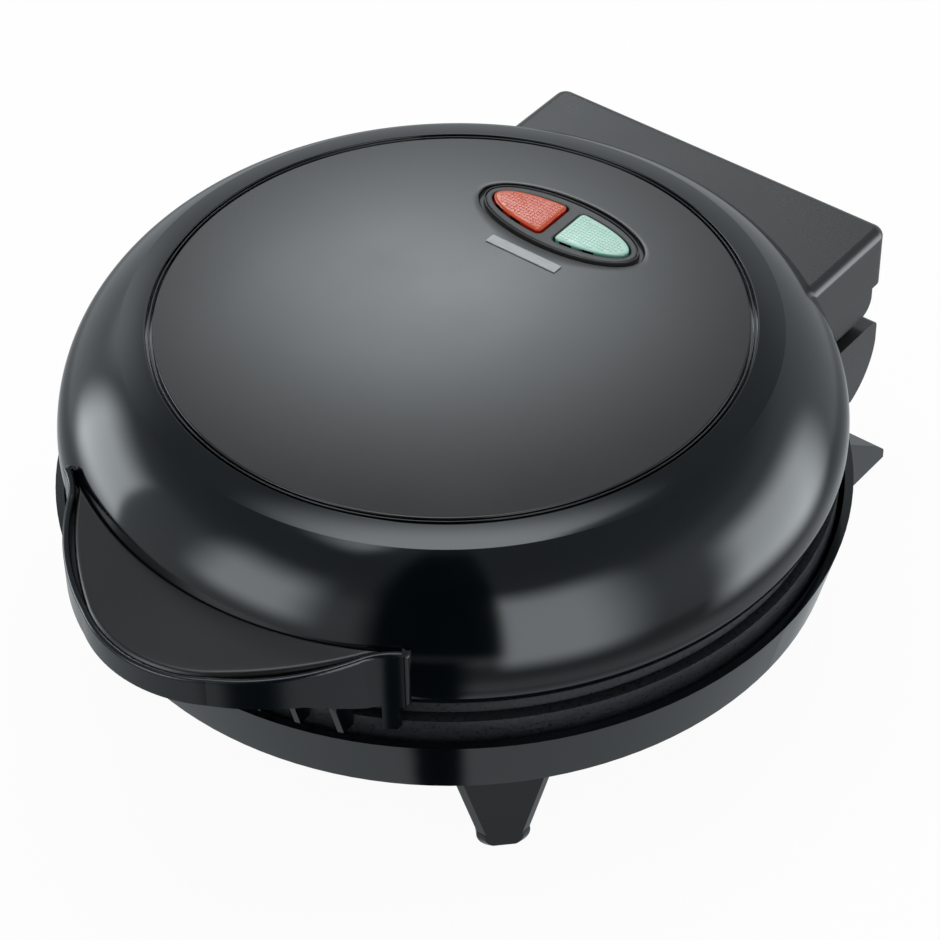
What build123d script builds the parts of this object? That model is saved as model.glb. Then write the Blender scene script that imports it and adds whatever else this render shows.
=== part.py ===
from build123d import *
import os
from math import cos, sin, radians, hypot, sqrt

os.makedirs("parts", exist_ok=True)

# Round two-pocket omelette maker: a base bowl on four feet, a hinged domed lid with a crescent
# handle, and a hot plate in each half.  Millimetres, +Z up, origin on the round body's axis at the
# level of the surface it stands on, handle towards -Y, hinge towards +Y.

# Hot plate: its radius sets the size of both halves
plate_r = 95.5
pocket_in = 9.5            # plate rim to the pockets' outer edge
divider_half = 9.0         # half of the bar between the two pockets
pocket_depth = 14.2
pocket_corner_r = 12.0
pocket_draft = 20.0
pocket_floor_r = 4.0
casting_t = 2.4
plate_flange_t = 2.5
plate_gap = 0.3            # between the two plates with the lid shut
plate_proud = 0.65         # plate rim above the base's band
plate_clear = 0.5

# What is stacked against the back of a plate
head_clear = 0.2           # screw heads to the bowl floor
head_h = 1.5
reflector_t = 0.6
reflector_in = 11.5        # plate rim to the reflector's rim
reflector_screw_in = 12.0
heater_gap = 0.15
heater_r = 3.25            # tubular heater
heater_in = 29.0           # reflector rim to the heater's centre line
heater_side_y = 38.0
heater_corner_r = 30.0
heater_end_x = 12.0
heater_pin_r = 1.6
heater_pin_l = 5.0

# Rim rings that frame the plates
deck_w = 13.0              # edge of the plate's seat to the base ring's band
band_foot = 9.0            # how deep the band reaches into the bowl
skirt_step = 2.0           # lid ring's skirt inside the band
skirt_h = 4.2
spigot_step = 1.8          # lid ring's spigot inside its skirt
spigot_h = 4.3
ring_t = 2.2
ledge_t = 2.3
ledge_w = 5.0
lid_gap = 1.6              # dark gap between the two bands

# Base bowl, measured from the surface it stands on
foot_height = 26.0         # gap under the bowl
pad_drop = 0.6             # rubber pads stand this far below the feet
floor_t = 2.4              # bowl floor
bowl_wall_t = 2.4
bowl_wall_h = 21.5         # bowl underside to the top edge of its outer wall
bowl_lip = 4.0             # top edge outside the band
bowl_draft = 4.5           # wall leans in this much on its way down
bowl_chamfer_w = 3.5
bowl_chamfer_h = 2.6

# Lid shell, from its lower edge up to the channel round the top panel
lid_wall_t = 2.3
lid_foot_step = 1.0        # lid's edge outside the skirt
lid_bulge = 2.6            # edge to the widest circle
lid_wide_h = 6.9
shoulder_w = 12.7          # widest circle to the shoulder
shoulder_h = 27.3
brow_w = 6.6               # shoulder to the crease
brow_h = 4.45
brow_bulge = 0.21
ring_w = 7.7               # crease to the channel
ring_h = 1.95
ring_bulge = 0.12
groove_w = 1.8
groove_depth = 1.8
roof_t = 2.2
panel_crown = 1.0
fit_gap = 0.15             # between pieces that are screwed together
seat_overlap = 30.6        # pieces on the flank are drawn this far into the lid, then cut to it

# Handle
handle_reach = 23.8        # nose of the handle outside the lid's widest circle
nose_r = 42.0
nose_half_angle = 30.6
wing_bend_x = 51.2         # where the side turns outwards into the tip
wing_bend_out = 2.8        # that place outside the widest circle
handle_end_x = 60.2
handle_end_out = 1.2
handle_side_bulge = 3.0
wing_flare = 0.8
wing_end_r = 1.3
wing_return_x = 49.0       # where the wall's return behind the tip would reach inside the lid
handle_top_h = 8.85        # top panel at the nose above the lid's widest circle
handle_slope = 0.085       # top panel rises towards the lid
handle_step = 1.0          # wall's rim lies this much under the top panel at the nose
handle_rim_slope = 0.145   # rim rises faster than the top panel
handle_wall_t = 2.0
handle_rim_edge_r = 0.85
handle_wall_h = 9.0        # top panel to the wall's lower edge round the nose
handle_wall_dip = 4.8      # lower edge falls this much to the end legs
handle_level_out = 3.4     # where it starts to fall, outside the widest circle
handle_leg_x = 53.8        # inner side of an end leg
handle_leg_sole_x = 56.4   # outer side of an end leg at its foot
leg_over_bowl = 5.1
leg_clear = 0.7            # legs to the base's band
tip_round_r = 2.4
tray_t = 1.6               # floor under the top panel, which carries the fins
cap_t = 2.2
cap_nose_r = 39.0
cap_half_angle = 30.0
cap_end_x = 55.4
cap_end_in = 4.9           # end of the panel's side inside the widest circle
cap_side_bulge = 3.0
cap_clear = 0.3
cap_edge_r = 0.7
fin_pitch = 11.15
fin_t = 1.5
fin_count = 9
fin_over_bowl = 3.1
fin_low_out = 0.4          # fins outside the bowl's top edge at their lower end
fin_high_out = 4.2         # and where they meet the wall's lower edge
handle_screw_x = 28.1
handle_screw_reach = 12.0

# Hinge
hinge_half_w = 59.5
hinge_out = 10.3           # hinge axis behind the bowl's top edge
hinge_drop = 2.55          # hinge axis below the parting plane
cover_back = 7.9           # cover's rear behind the hinge axis
cover_drop = 1.25          # cover's underside below the lid's edge
cover_h = 19.5
cover_wall_t = 2.4
cover_edge_r = 3.0
cover_corner_r = 4.0
knuckle_r = 5.2
knuckle_inset = 2.0        # knuckles end short of the cover's sides
knuckle_clear = 1.6        # knuckles outside the bowl's top edge
ear_r = 4.9
ear_half_neck = 4.0
ear_in_x = 20.0
ear_t = 11.0
knuckle_side_gap = 0.5
pin_r = 2.5
pin_running = 0.05
pin_press = 0.02
pin_reach = 18.0           # pin into the knuckle
block_back = 6.2           # hinge block's rear behind the hinge axis
block_drop = 4.2           # its top below the bowl's edge
block_below = 7.5          # its underside below the bowl
block_edge_r = 2.5
block_wall_t = 2.4
block_screw_x = 42.0
block_screw_rise = 9.5     # screws that hold the block, above the bowl's underside
block_screw_l = 14.0
cover_screw_xs = (20.0, 46.0)
cover_screw_reach = 14.0

# Feet
foot_angle = 45.0          # front feet, from the front centre line
foot_in = 1.3              # feet inside the bowl's chamfer
foot_depth = 12.0
foot_top_half = 13.2
foot_low_half = 7.2
foot_round_z = 7.0
foot_flat_half = 3.4
foot_round_bulge = 1.5
foot_screw_in = 1.8        # screws of the front feet behind the feet's middle
foot_bevel = 2.2
front_pad_r = 3.0
rear_foot_x = 60.5
rear_foot_half = 10.5
rear_root_in = 43.0        # a rear foot starts this far inside the bowl's floor edge
rear_root_l = 30.0         # and lies against the floor for this length
rear_root_h = 9.0          # thickness of the foot there
rear_toe_in = 2.8          # toe ahead of the hinge axis
rear_toe_h = 7.5
rear_toe_r = 2.2
rear_sole_l = 24.0
rear_pad_r = 6.0
rear_pad_in = 9.5          # pad's middle ahead of the toe
pad_sunk = 1.2
foot_screw_l = 6.0         # foot screws below the bowl's underside

# Fasteners: shaft radius, head radius
screw_r = 1.4
screw_head_r = 2.9
screw_hole_r = 1.6
thread_hole_r = 1.45
boss_r = 3.8
rim_screw_out = 4.7        # screws that close each half, outside the plate's seat
rim_screw_angles = (10.0, 75.0, 105.0, 170.0, 250.0, 290.0)
rim_boss_low = 10.0        # base ring's bosses end this far above the bowl's underside
plate_screw_angles = (40.0, 140.0, 220.0, 320.0)
side_screw_h = 3.85        # screws through the lid's flank, above its widest circle

# Indicator window and trim on the lid
window_y = 50.0
bezel_a = 27.5
bezel_b = 12.0
bezel_h = 3.4
bezel_rim = 2.2
bezel_dish = 1.1
lens_a = 23.5
lens_b = 7.2
lens_bar = 2.0             # half of the bar between the lenses
lens_t = 4.6
trim_y = 32.5
trim_l = 24.0
trim_w = 3.4
trim_t = 0.6
lamp_r = 2.6
lamp_l = 13.0
lamp_x = 11.0

# Electrical parts
gland_bore_r = 3.6
gland_r = 5.2
gland_flange_r = 7.0
gland_flange_t = 1.4
gland_rise = 12.5          # above the hinge block's underside
lead_r = 1.2
lead_x = 6.6
terminal_size = (30.0, 9.0, 11.0)
terminal_clear = 1.3       # to the bowl's wall
vent_l = 22.0
vent_w = 2.6
vent_pitch = 8.0
vent_y = 30.0
wire_hole_r = 5.0          # for the leads, through the lid's flank under the hinge cover
wire_gate_half = 30.0      # opening from the bowl into the hinge block

# Radii that follow from the plate outwards
pocket_r = plate_r - pocket_in
reflector_r = plate_r - reflector_in
heater_bend_x = reflector_r - heater_in
reflector_screw_y = reflector_r - reflector_screw_in
deck_r = plate_r + plate_clear
ledge_r = deck_r - ledge_w
rim_screw_r = deck_r + rim_screw_out
band_r = deck_r + deck_w
skirt_r = band_r - skirt_step
spigot_r = skirt_r - spigot_step
bowl_top_r = band_r + bowl_lip
bowl_low_r = bowl_top_r - bowl_draft
bowl_floor_r = bowl_low_r - bowl_chamfer_w
floor_in_r = bowl_floor_r - bowl_wall_t / 2
bowl_in_top_r = bowl_top_r - bowl_wall_t
foot_out_r = bowl_low_r - foot_in
lid_foot_r = skirt_r + lid_foot_step
lid_wide_r = lid_foot_r + lid_bulge
shoulder_r = lid_wide_r - shoulder_w
crease_r = shoulder_r - brow_w
groove_r = crease_r - ring_w

# Heights that follow from the stack
floor_top_z = foot_height + floor_t
reflector_z = floor_top_z + head_clear + head_h
heater_z = reflector_z + reflector_t + heater_gap + heater_r
casting_z = heater_z + heater_r + heater_gap
pocket_z = casting_z + casting_t
plate_top_z = pocket_z + pocket_depth
flange_z = plate_top_z - plate_flange_t
part_z = plate_top_z + plate_gap / 2
band_top_z = plate_top_z - plate_proud
bowl_top_z = foot_height + bowl_wall_h
skirt_z = band_top_z + lid_gap
lid_edge_z = skirt_z + skirt_h
lid_wide_z = lid_edge_z + lid_wide_h
shoulder_z = lid_wide_z + shoulder_h
crease_z = shoulder_z + brow_h
lid_top_z = crease_z + ring_h
recess_z = lid_top_z - groove_depth
roof_z = recess_z - roof_t
side_screw_z = lid_wide_z + side_screw_h

# Places that follow, behind and in front
hinge_axis_y = bowl_top_r + hinge_out
hinge_axis_z = part_z - hinge_drop
hinge_rear_y = hinge_axis_y + cover_back
block_rear_y = hinge_axis_y + block_back
block_top_z = bowl_top_z - block_drop
block_low_z = foot_height - block_below
cover_low_z = lid_edge_z - cover_drop
cover_top_z = cover_low_z + cover_h
gland_z = block_low_z + gland_rise
rear_root_y = (bowl_floor_r - rear_root_in, bowl_floor_r - rear_root_in + rear_root_l)
rear_toe_y = hinge_axis_y - rear_toe_in
rear_pad_y = rear_toe_y - rear_pad_in
terminal_y = floor_in_r - terminal_clear - terminal_size[1] / 2
nose_y = -(lid_wide_r + handle_reach)
handle_top_z = lid_wide_z + handle_top_h
handle_wall_low_z = handle_top_z - handle_wall_h
handle_wall_end_z = handle_wall_low_z - handle_wall_dip
handle_level_y = -(lid_wide_r + handle_level_out)
handle_leg_low_z = bowl_top_z + leg_over_bowl
fin_low_z = bowl_top_z + fin_over_bowl
leg_clear_r = band_r + leg_clear
flank_in_y = lid_wide_r - seat_overlap


def turned(points):
    """Solid of revolution about Z from a closed outline of (radius, height) points."""
    return revolve(make_face(Polyline(*[(r, 0, z) for r, z in points], close=True)), Axis.Z)


def post(x, y, low, high, radius):
    """Upright cylinder between two heights."""
    return Pos(x, y, (low + high) / 2) * Cylinder(radius, high - low)


def rod_y(x, z, y_from, y_to, radius):
    """Cylinder along Y."""
    return Pos(x, (y_from + y_to) / 2, z) * Rot(X=90) * Cylinder(radius, abs(y_to - y_from))


def rod_x(y, z, x_from, x_to, radius):
    """Cylinder along X."""
    return Pos((x_from + x_to) / 2, y, z) * Rot(Y=90) * Cylinder(radius, abs(x_to - x_from))


def block(xs, ys, zs):
    """Box from its limits on each axis."""
    size = [b - a for a, b in (xs, ys, zs)]
    middle = [(a + b) / 2 for a, b in (xs, ys, zs)]
    return Pos(*middle) * Box(*size)


def polar(radius, angle):
    return radius * cos(radians(angle)), radius * sin(radians(angle))


def flipped(shape):
    """The same piece on the lid's side of the parting plane."""
    return mirror(shape, about=Plane.XY.offset(part_z))


def save(name, *solids):
    shape = solids[0] if len(solids) == 1 else Compound(children=list(solids))
    export_step(shape, f"parts/{name}.step")


# Lid outline, shared by the shell and by everything that seats on its flank
def wide_arc_r(offset_r, height):
    return (offset_r ** 2 + height ** 2) / (2 * offset_r)


flank_arc_r = wide_arc_r(shoulder_w, shoulder_h)
flank_arc_c = lid_wide_r - flank_arc_r
lower_arc_r = wide_arc_r(lid_bulge, lid_wide_h)
lower_arc_c = lid_wide_r - lower_arc_r


def on_flank(z, inset=0.0):
    """Radius of the lid's flank at a height, or of a surface inside it."""
    if z >= lid_wide_z:
        return flank_arc_c + sqrt((flank_arc_r - inset) ** 2 - (z - lid_wide_z) ** 2)
    return lower_arc_c + sqrt((lower_arc_r - inset) ** 2 - (z - lid_wide_z) ** 2)


def at_wide(x, out):
    """Plan point in front, at a distance outside the lid's widest circle."""
    return x, -sqrt((lid_wide_r + out) ** 2 - x ** 2)


def bowed(start, end, bulge):
    """Arc between two (across, up) points, bowed to the right of its way for a positive bulge."""
    dx, dy = end[0] - start[0], end[1] - start[1]
    length = hypot(dx, dy)
    middle = ((start[0] + end[0]) / 2 + bulge * dy / length, (start[1] + end[1]) / 2 - bulge * dx / length)
    return ThreePointArc(start, middle, end)


def upright(edge):
    """An edge drawn in plan, stood up so that its second coordinate is the height."""
    return Rot(X=90) * edge


def flank_edges(grow=0.0):
    """Edges of the lid's outer outline from its edge up to the shoulder, grown outwards."""
    lower_mid_z = (lid_edge_z + lid_wide_z) / 2
    upper_mid_z = (lid_wide_z + shoulder_z) / 2
    wide = (lid_wide_r + grow, 0, lid_wide_z)
    return [
        ThreePointArc((lid_foot_r + grow, 0, lid_edge_z), (on_flank(lower_mid_z) + grow, 0, lower_mid_z), wide),
        ThreePointArc(wide, (on_flank(upper_mid_z) + grow, 0, upper_mid_z), (shoulder_r + grow, 0, shoulder_z)),
    ]


def lid_envelope(grow):
    """Solid that the lid fills up to its shoulder and down past its edge, for cutting seats."""
    low_z = hinge_axis_z - knuckle_r
    return revolve(make_face(Curve() + flank_edges(grow) + [
        Polyline((shoulder_r + grow, 0, shoulder_z), (0, 0, shoulder_z), (0, 0, low_z),
                 (lid_foot_r + grow, 0, low_z), (lid_foot_r + grow, 0, lid_edge_z)),
    ]), Axis.Z)


# Plates, heaters and reflectors: built for the base, mirrored for the lid

def pocket_face(grow):
    """Half-moon outline on the +X side, grown outwards."""
    disc = Circle(pocket_r + grow)
    half = Pos((pocket_r + grow + divider_half - grow) / 2, 0) * Rectangle(
        pocket_r + grow - (divider_half - grow), 2 * (pocket_r + grow)
    )
    moon = disc & half
    return fillet(moon.vertices(), pocket_corner_r + grow)


def cooking_plate():
    """Cast plate with two drafted half-moon pockets and a flange that sits on the rim ring."""
    flange = post(0, 0, flange_z, plate_top_z, plate_r)
    bowls = Part()
    pockets = Part()
    outer = extrude(Pos(0, 0, plate_top_z) * pocket_face(casting_t), -(plate_top_z - casting_z),
                    taper=pocket_draft)
    inner = extrude(Pos(0, 0, plate_top_z) * pocket_face(0), -pocket_depth, taper=pocket_draft)
    inner = fillet(inner.faces().sort_by(Axis.Z)[0].edges(), pocket_floor_r)
    for turn in (0, 180):
        bowls += Rot(Z=turn) * outer
        pockets += Rot(Z=turn) * inner
    plate = flange + bowls - pockets
    for y in (-reflector_screw_y, reflector_screw_y):
        plate += post(0, y, reflector_z + reflector_t, flange_z + 1, boss_r)
        plate -= post(0, y, reflector_z, flange_z - 2, thread_hole_r)
    for angle in plate_screw_angles:
        x, y = polar((ledge_r + deck_r) / 2, angle)
        plate -= post(x, y, flange_z - 1, flange_z + plate_flange_t * 0.6, thread_hole_r)
    return plate


def heater():
    """Tubular heater, one horseshoe run with its two cold ends at the rear."""
    left = -heater_bend_x
    right = heater_bend_x
    rear = heater_side_y + heater_corner_r
    bend_in = heater_bend_x - heater_corner_r
    turn = heater_corner_r * sin(radians(45))
    path = Curve() + [
        Line((-heater_end_x, rear, 0), (-bend_in, rear, 0)),
        ThreePointArc((-bend_in, rear, 0), (-bend_in - turn, heater_side_y + turn, 0),
                      (left, heater_side_y, 0)),
        Line((left, heater_side_y, 0), (left, 0, 0)),
        ThreePointArc((left, 0, 0), (0, left, 0), (right, 0, 0)),
        Line((right, 0, 0), (right, heater_side_y, 0)),
        ThreePointArc((right, heater_side_y, 0), (bend_in + turn, heater_side_y + turn, 0),
                      (bend_in, rear, 0)),
        Line((bend_in, rear, 0), (heater_end_x, rear, 0)),
    ]
    section = Plane(origin=(-heater_end_x, rear, 0), z_dir=(-1, 0, 0)) * Circle(heater_r)
    tube = Pos(0, 0, heater_z) * sweep(section, path=Wire(path.edges()))
    for side in (-1, 1):
        tube += rod_x(rear, heater_z, side * (heater_end_x - heater_pin_l),
                      side * (heater_end_x + 2), heater_pin_r)
    return tube


def reflector():
    """Thin steel pan screwed to the back of a plate."""
    lip = 3 * reflector_t
    pan = turned([
        (0, reflector_z), (reflector_r, reflector_z), (reflector_r, reflector_z + lip),
        (reflector_r - reflector_t, reflector_z + lip),
        (reflector_r - reflector_t, reflector_z + reflector_t), (0, reflector_z + reflector_t),
    ])
    for y in (-reflector_screw_y, reflector_screw_y):
        pan -= post(0, y, reflector_z - 1, reflector_z + 1, screw_hole_r)
    return pan


def reflector_screws():
    top = flange_z - 6
    return [
        post(0, y, reflector_z - head_h, reflector_z, screw_head_r)
        + post(0, y, reflector_z - head_h / 2, top, screw_r)
        for y in (-reflector_screw_y, reflector_screw_y)
    ]


def plate_screws(ledge_face, way):
    """Screws from the back of a ring's ledge into the plate's flange."""
    screws = []
    for angle in plate_screw_angles:
        x, y = polar((ledge_r + deck_r) / 2, angle)
        low, high = sorted((ledge_face, ledge_face - way * head_h))
        tip = flange_z + plate_flange_t * 0.5 if way > 0 else 2 * part_z - flange_z - plate_flange_t * 0.5
        foot, top = sorted((ledge_face - way * head_h / 2, tip))
        screws.append(post(x, y, low, high, screw_r * 1.3) + post(x, y, foot, top, screw_r))
    return screws


def lead_wires():
    """Two insulated leads from the terminals to the heater's cold ends, with crimped ends."""
    rear = heater_side_y + heater_corner_r
    start = rear + heater_pin_r + 0.3
    end = terminal_y - terminal_size[1] / 2 - 0.3
    return [
        rod_y(side * lead_x, heater_z, start, end, lead_r)
        + rod_y(side * lead_x, heater_z, start, start + 5, lead_r * 1.35)
        for side in (-1, 1)
    ]


# Base housing: the bowl, closed by the base rim ring
bowl_outer = [
    (0, foot_height), (bowl_floor_r, foot_height), (bowl_low_r, foot_height + bowl_chamfer_h),
    (bowl_top_r, bowl_top_z),
]
bowl_inner = [(bowl_in_top_r, bowl_top_z), (floor_in_r, floor_top_z), (0, floor_top_z)]
housing = turned(bowl_outer + bowl_inner)
bowl_full = turned(bowl_outer + [(0, bowl_top_z)])


def front_foot_face():
    """Tapered foot with a rounded end, in a plane seen from outside, at the foot's own middle."""
    top_z = foot_height + floor_t
    flat = (foot_flat_half, pad_drop)
    low = (foot_low_half, foot_round_z)
    side = [
        bowed(flat, low, foot_round_bulge),
        Line(low, (foot_top_half, top_z)),
        Line((foot_top_half, top_z), (-foot_top_half, top_z)),
        Line((-foot_top_half, top_z), (-low[0], low[1])),
        bowed((-low[0], low[1]), (-flat[0], flat[1]), foot_round_bulge),
        Line((-flat[0], flat[1]), flat),
    ]
    return make_face(Curve() + side)


def front_foot(angle):
    """Foot bevelled along its outer face and cut to the bowl's underside."""
    outward = polar(1, angle)
    out_plane = Plane(
        origin=(foot_out_r * outward[0], foot_out_r * outward[1], 0),
        x_dir=(-outward[1], outward[0], 0), z_dir=(outward[0], outward[1], 0),
    )
    solid = extrude(out_plane * front_foot_face(), -foot_depth)
    outer = solid.faces().sort_by(lambda f: f.center().X * outward[0] + f.center().Y * outward[1])[-1]
    rim = outer.edges().filter_by(lambda e: e.center().Z < foot_height)
    return chamfer(rim, foot_bevel) - bowl_full


def foot_screw(x, y):
    """Screw from inside the bowl down into a foot."""
    return (post(x, y, floor_top_z, floor_top_z + head_h, screw_head_r)
            + post(x, y, foot_height - foot_screw_l, floor_top_z + head_h / 2, screw_r))


pad_places = []
front_feet = []
front_foot_screws = []
for front_angle in (-90 - foot_angle, -90 + foot_angle):
    x, y = polar(foot_out_r - foot_depth / 2, front_angle)
    foot = front_foot(front_angle) - post(x, y, -1, pad_sunk, front_pad_r + fit_gap)
    pad_places.append((x, y, front_pad_r))
    x, y = polar(foot_out_r - foot_depth / 2 - foot_screw_in, front_angle)
    front_feet.append(foot - post(x, y, foot_height - foot_screw_l - 1, foot_height + 1, thread_hole_r))
    front_foot_screws.append(foot_screw(x, y))
    housing -= post(x, y, foot_height - 1, floor_top_z + 1, screw_hole_r)

# Hinge block behind the bowl, seen from +X: flat top, rounded rear corner, belly curving in below
def hinge_block_face(inset):
    rear = block_rear_y - inset
    top = block_top_z - inset
    low = block_low_z + inset
    edge = block_edge_r - min(inset, block_edge_r - 0.5)
    front = bowl_floor_r - 50
    belly = top - 0.32 * (top - low)
    outline = Curve() + [
        Line((front, top), (rear - edge, top)),
        ThreePointArc((rear - edge, top), (rear - edge * 0.293, top - edge * 0.293), (rear, top - edge)),
        Line((rear, top - edge), (rear, belly)),
        ThreePointArc((rear, belly), (rear - 3.6, (belly + low) / 2 - 1.5), (rear - 11.5, low)),
        Line((rear - 11.5, low), (front, low)),
        Line((front, low), (front, top)),
    ]
    return Plane.YZ * make_face(outline)


hinge_block = extrude(hinge_block_face(0), hinge_half_w, both=True)
hinge_block -= block((-hinge_half_w, hinge_half_w), (0, bowl_floor_r - 10), (0, bowl_top_z))
hinge_hollow = extrude(hinge_block_face(block_wall_t), hinge_half_w - block_wall_t, both=True)
hinge_block -= hinge_hollow
hinge_block -= bowl_full
hinge_block -= block((-hinge_half_w, hinge_half_w), (0, bowl_low_r - 0.5), (0, foot_height))
housing -= block((-wire_gate_half, wire_gate_half), (bowl_floor_r - 5, block_rear_y - 11.5),
                 (floor_top_z + 2, block_top_z - block_wall_t))
for side in (-1, 1):
    xs = sorted((side * ear_in_x, side * (ear_in_x + ear_t)))
    neck = (hinge_axis_y - ear_half_neck, hinge_axis_y + ear_half_neck)
    hinge_block += block(xs, neck, (block_top_z - 1, hinge_axis_z))
    hinge_block += rod_x(hinge_axis_y, hinge_axis_z, xs[0], xs[1], ear_r)
    hinge_block -= rod_x(hinge_axis_y, hinge_axis_z, xs[0] - 1, xs[1] + 1, pin_r + pin_press)

# Screws from inside the bowl into the hinge block
block_screw_z = foot_height + block_screw_rise
block_seat_r = floor_in_r + (bowl_in_top_r - floor_in_r) * (block_screw_z - floor_top_z) / (bowl_top_z - floor_top_z)
block_seat_y = sqrt(block_seat_r ** 2 - (block_screw_x + screw_head_r) ** 2) - fit_gap
block_screws = []
for x in (-block_screw_x, block_screw_x):
    hinge_block += rod_y(x, block_screw_z, block_seat_y, block_rear_y - block_wall_t / 2, boss_r) - bowl_full
    hinge_block -= rod_y(x, block_screw_z, block_seat_y, block_seat_y + block_screw_l + 1, thread_hole_r)
    housing -= rod_y(x, block_screw_z, block_seat_y - 1, block_seat_y + block_screw_l, screw_hole_r)
    block_screws.append(
        rod_y(x, block_screw_z, block_seat_y - head_h, block_seat_y, screw_head_r)
        + rod_y(x, block_screw_z, block_seat_y - head_h / 2, block_seat_y + block_screw_l, screw_r)
    )

# Screw posts, vents and the cord hole
rim_places = [polar(rim_screw_r, angle) for angle in rim_screw_angles]
rim_post_z = foot_height + rim_boss_low
rim_head_z = foot_height + 4.0
for x, y in rim_places:
    housing += post(x, y, foot_height + 1, rim_post_z, boss_r)
    housing -= post(x, y, foot_height - 1, rim_post_z + 1, screw_hole_r)
    housing -= post(x, y, foot_height - 1, rim_head_z, screw_head_r + 0.3)
for row in (-1, 1):
    for step in range(-3, 4):
        slot = SlotOverall(vent_l, vent_w)
        housing -= Pos(step * vent_pitch, row * vent_y, foot_height - 1) * extrude(
            Rot(Z=90) * slot, floor_t + 2)
gland_seat_y = block_rear_y - block_wall_t
hinge_block += rod_y(0, gland_z, gland_seat_y, block_rear_y, gland_flange_r + 1.5)
hinge_block -= rod_y(0, gland_z, gland_seat_y - 8, gland_seat_y, gland_flange_r + 1)
hinge_block -= rod_y(0, gland_z, gland_seat_y - 1, block_rear_y + 1, gland_r + fit_gap)

# Rear feet: wedges screwed under the bowl that reach out behind
rear_feet = []
rear_foot_screws = []
rear_profile = Polyline(
    (rear_root_y[0], foot_height), (rear_root_y[1], foot_height),
    (rear_toe_y - rear_toe_h / 2, rear_toe_h), (rear_toe_y, rear_toe_h / 2), (rear_toe_y, pad_drop),
    (rear_toe_y - rear_sole_l, pad_drop), (rear_root_y[0], foot_height - rear_root_h), close=True,
)
rear_screw_y = sum(rear_root_y) / 2 - 5
for side in (-1, 1):
    x = side * rear_foot_x
    foot = Pos(x, 0, 0) * extrude(Plane.YZ * make_face(rear_profile), rear_foot_half, both=True)
    toe_edges = foot.edges().filter_by(Axis.X).filter_by(lambda e: e.center().Y > rear_root_y[1] + 1
                                                         and e.center().Z > pad_drop + 1)
    foot = fillet(toe_edges, rear_toe_r)
    foot -= post(x, rear_pad_y, -1, pad_sunk, rear_pad_r + fit_gap)
    foot -= post(x, rear_screw_y, foot_height - foot_screw_l - 1, foot_height + 1, thread_hole_r)
    housing -= post(x, rear_screw_y, foot_height - 1, floor_top_z + 1, screw_hole_r)
    rear_feet.append(foot)
    rear_foot_screws.append(foot_screw(x, rear_screw_y))
    pad_places.append((x, rear_pad_y, rear_pad_r))
foot_pads = [post(x, y, 0, pad_sunk, radius) for x, y, radius in pad_places]

# Base rim ring: the inset band, the deck round the plate and the ledge under the plate's flange
base_ring = turned([
    (band_r, band_top_z), (band_r, band_top_z - band_foot), (band_r - ring_t, band_top_z - band_foot),
    (band_r - ring_t, band_top_z - ring_t), (deck_r + ring_t, band_top_z - ring_t),
    (deck_r + ring_t, flange_z - ledge_t), (ledge_r, flange_z - ledge_t), (ledge_r, flange_z),
    (deck_r, flange_z), (deck_r, band_top_z),
])
for x, y in rim_places:
    base_ring += post(x, y, rim_post_z, band_top_z - 1, boss_r)
    base_ring -= post(x, y, rim_post_z - 1, band_top_z - 4, thread_hole_r)
for angle in plate_screw_angles:
    x, y = polar((ledge_r + deck_r) / 2, angle)
    base_ring -= post(x, y, flange_z - ledge_t - 1, flange_z + 1, screw_hole_r)

base_screws = [
    post(x, y, rim_head_z - head_h, rim_head_z, screw_head_r)
    + post(x, y, rim_head_z - head_h / 2, band_top_z - 6, screw_r)
    for x, y in rim_places
]

# Small electrical pieces in the base
thermostat_w = 9.0
thermostat_l = 26.0
thermostat_h = 7.0
thermostat = block((-thermostat_w / 2, thermostat_w / 2), (-thermostat_l / 2, thermostat_l / 2),
                   (flange_z - thermostat_h, flange_z))
thermostat = chamfer(thermostat.edges().filter_by(Axis.Z), 1.0)
thermostat += post(0, 0, flange_z - thermostat_h - 3, flange_z - thermostat_h + 1, 2.0)
for y in (-9, 9):
    thermostat += block((-3, 3), (y - 0.4, y + 0.4), (flange_z - thermostat_h - 6, flange_z - thermostat_h + 1))
fuse_y = 38.0
fuse_r = 2.4
fuse_l = 18.0
fuse_z = flange_z - fuse_r - 0.8
thermal_fuse = rod_y(0, fuse_z, fuse_y - fuse_l / 2, fuse_y + fuse_l / 2, fuse_r)
thermal_fuse += rod_y(0, fuse_z, fuse_y - fuse_l / 2 - 5, fuse_y + fuse_l / 2 + 5, 0.7)
clip_t = 0.8
fuse_clip = rod_y(0, fuse_z, fuse_y - 3, fuse_y + 3, fuse_r + clip_t + 0.05)
fuse_clip -= rod_y(0, fuse_z, fuse_y - 4, fuse_y + 4, fuse_r + 0.05)
fuse_clip -= block((-4, 4), (fuse_y - 4, fuse_y + 4), (flange_z - 0.7, flange_z + 2))
fuse_clip += block((-5, 5), (fuse_y - 3, fuse_y + 3), (flange_z - clip_t, flange_z)) - rod_y(
    0, fuse_z, fuse_y - 4, fuse_y + 4, fuse_r + 0.05)
terminal_block = block(
    (-terminal_size[0] / 2, terminal_size[0] / 2),
    (terminal_y - terminal_size[1] / 2, terminal_y + terminal_size[1] / 2),
    (floor_top_z, floor_top_z + terminal_size[2]),
)
for x in (-10, 0, 10):
    terminal_block -= post(x, terminal_y, floor_top_z + 5, floor_top_z + terminal_size[2] + 1, 2.0)
    terminal_block -= rod_y(x, heater_z, terminal_y - 10, terminal_y + 10, 1.5)

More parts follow.
